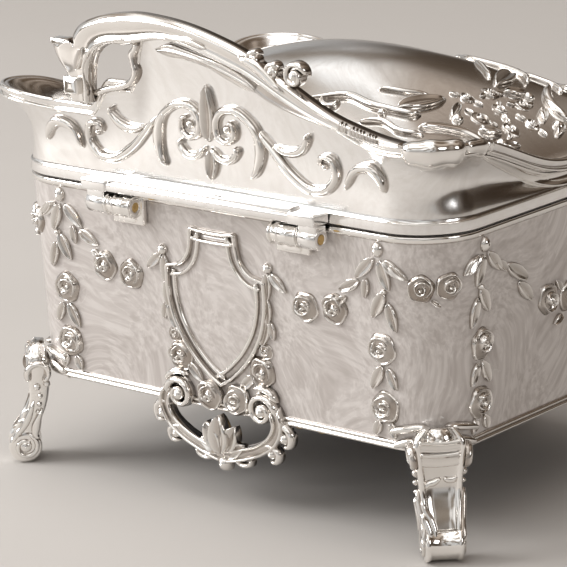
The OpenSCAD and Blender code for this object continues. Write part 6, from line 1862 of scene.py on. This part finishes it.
class CASKET_OT_metalwork(CasketOperator, bpy.types.Operator):
    """Gives the parts that keep their construction shape their own finishes"""
    bl_idname = "casket.metalwork"
    bl_label = "Fittings and movement"

    def execute(self, context):
        m = finishes()
        slots = {s["node"]: s.get("material_slot", "") for s in frame["record"].get("subparts", [])}
        by_slot = {"pearl_enamel": "enamel", "silver_plate": "silver", "base_felt": "felt", "board": "wood",
                   "velvet": "velvet", "brass": "brass", "steel": "steel", "mirror_glass": "mirror",
                   "dancer_plastic": "skin", "tulle": "tulle"}
        plated = silver("turned_plate", context.scene.casket_colours.silver_bright,
                        context.scene.casket_colours.silver_shade, 0.0, 0.1, False)
        for name, obj in frame["nodes"].items():
            key = by_slot.get(slots.get(name, ""), "silver")
            obj.data.materials.clear()
            obj.data.materials.append(plated if key == "silver" else m[key])
        return {"FINISHED"}


class CASKET_OT_stage(CasketOperator, bpy.types.Operator):
    """Sets up the floor, the lamps, the world and the camera"""
    bl_idname = "casket.stage"
    bl_label = "Stage"

    def execute(self, context):
        build_stage(context.scene.casket_stage)
        aim_camera(context.scene.casket_stage)
        return {"FINISHED"}


class CASKET_OT_linings(CasketOperator, bpy.types.Operator):
    """Builds the velvet deck, the pleated linings and the mirror"""
    bl_idname = "casket.linings"
    bl_label = "Linings and mirror"

    def execute(self, context):
        build_deck(finishes())
        build_wall_lining(finishes())
        build_lid_lining(finishes())
        build_mirror(finishes())
        return {"FINISHED"}


class CASKET_OT_dancer(CasketOperator, bpy.types.Operator):
    """Builds the ballerina and her tutu"""
    bl_idname = "casket.dancer"
    bl_label = "Dancer"

    def execute(self, context):
        build_dancer(finishes())
        build_tutu(finishes())
        return {"FINISHED"}


STEPS = (CASKET_OT_stage, CASKET_OT_metalwork, CASKET_OT_case, CASKET_OT_lid, CASKET_OT_crest,
         CASKET_OT_shields, CASKET_OT_garlands, CASKET_OT_feet, CASKET_OT_hinge,
         CASKET_OT_linings, CASKET_OT_dancer)


class CASKET_PT_panel(bpy.types.Panel):
    """Lists the casket's sizes, colours and pieces"""
    bl_idname = "CASKET_PT_panel"
    bl_label = "Jewellery casket"
    bl_space_type = "VIEW_3D"
    bl_region_type = "UI"
    bl_category = "Casket"

    def draw(self, context):
        for values in (context.scene.casket_sizes, context.scene.casket_colours, context.scene.casket_stage):
            box = self.layout.box()
            for key in values.bl_rna.properties.keys():
                if key not in ("rna_type", "name"):
                    box.prop(values, key)
        for step in STEPS:
            self.layout.operator(step.bl_idname)


CLASSES = (CasketSizes, CasketColours, CasketStage) + STEPS + (CASKET_PT_panel,)


def register():
    """Adds the classes and hangs the settings on the scene."""
    for cls in CLASSES:
        bpy.utils.register_class(cls)
    bpy.types.Scene.casket_sizes = PointerProperty(type=CasketSizes)
    bpy.types.Scene.casket_colours = PointerProperty(type=CasketColours)
    bpy.types.Scene.casket_stage = PointerProperty(type=CasketStage)


def unregister():
    """Takes them away again."""
    for name in ("casket_sizes", "casket_colours", "casket_stage"):
        delattr(bpy.types.Scene, name)
    for cls in reversed(CLASSES):
        bpy.utils.unregister_class(cls)


def main():
    """Registers the add-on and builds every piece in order."""
    register()
    for step in STEPS:
        area, name = step.bl_idname.split(".")
        getattr(getattr(bpy.ops, area), name)()


if __name__ == "__main__":
    main()
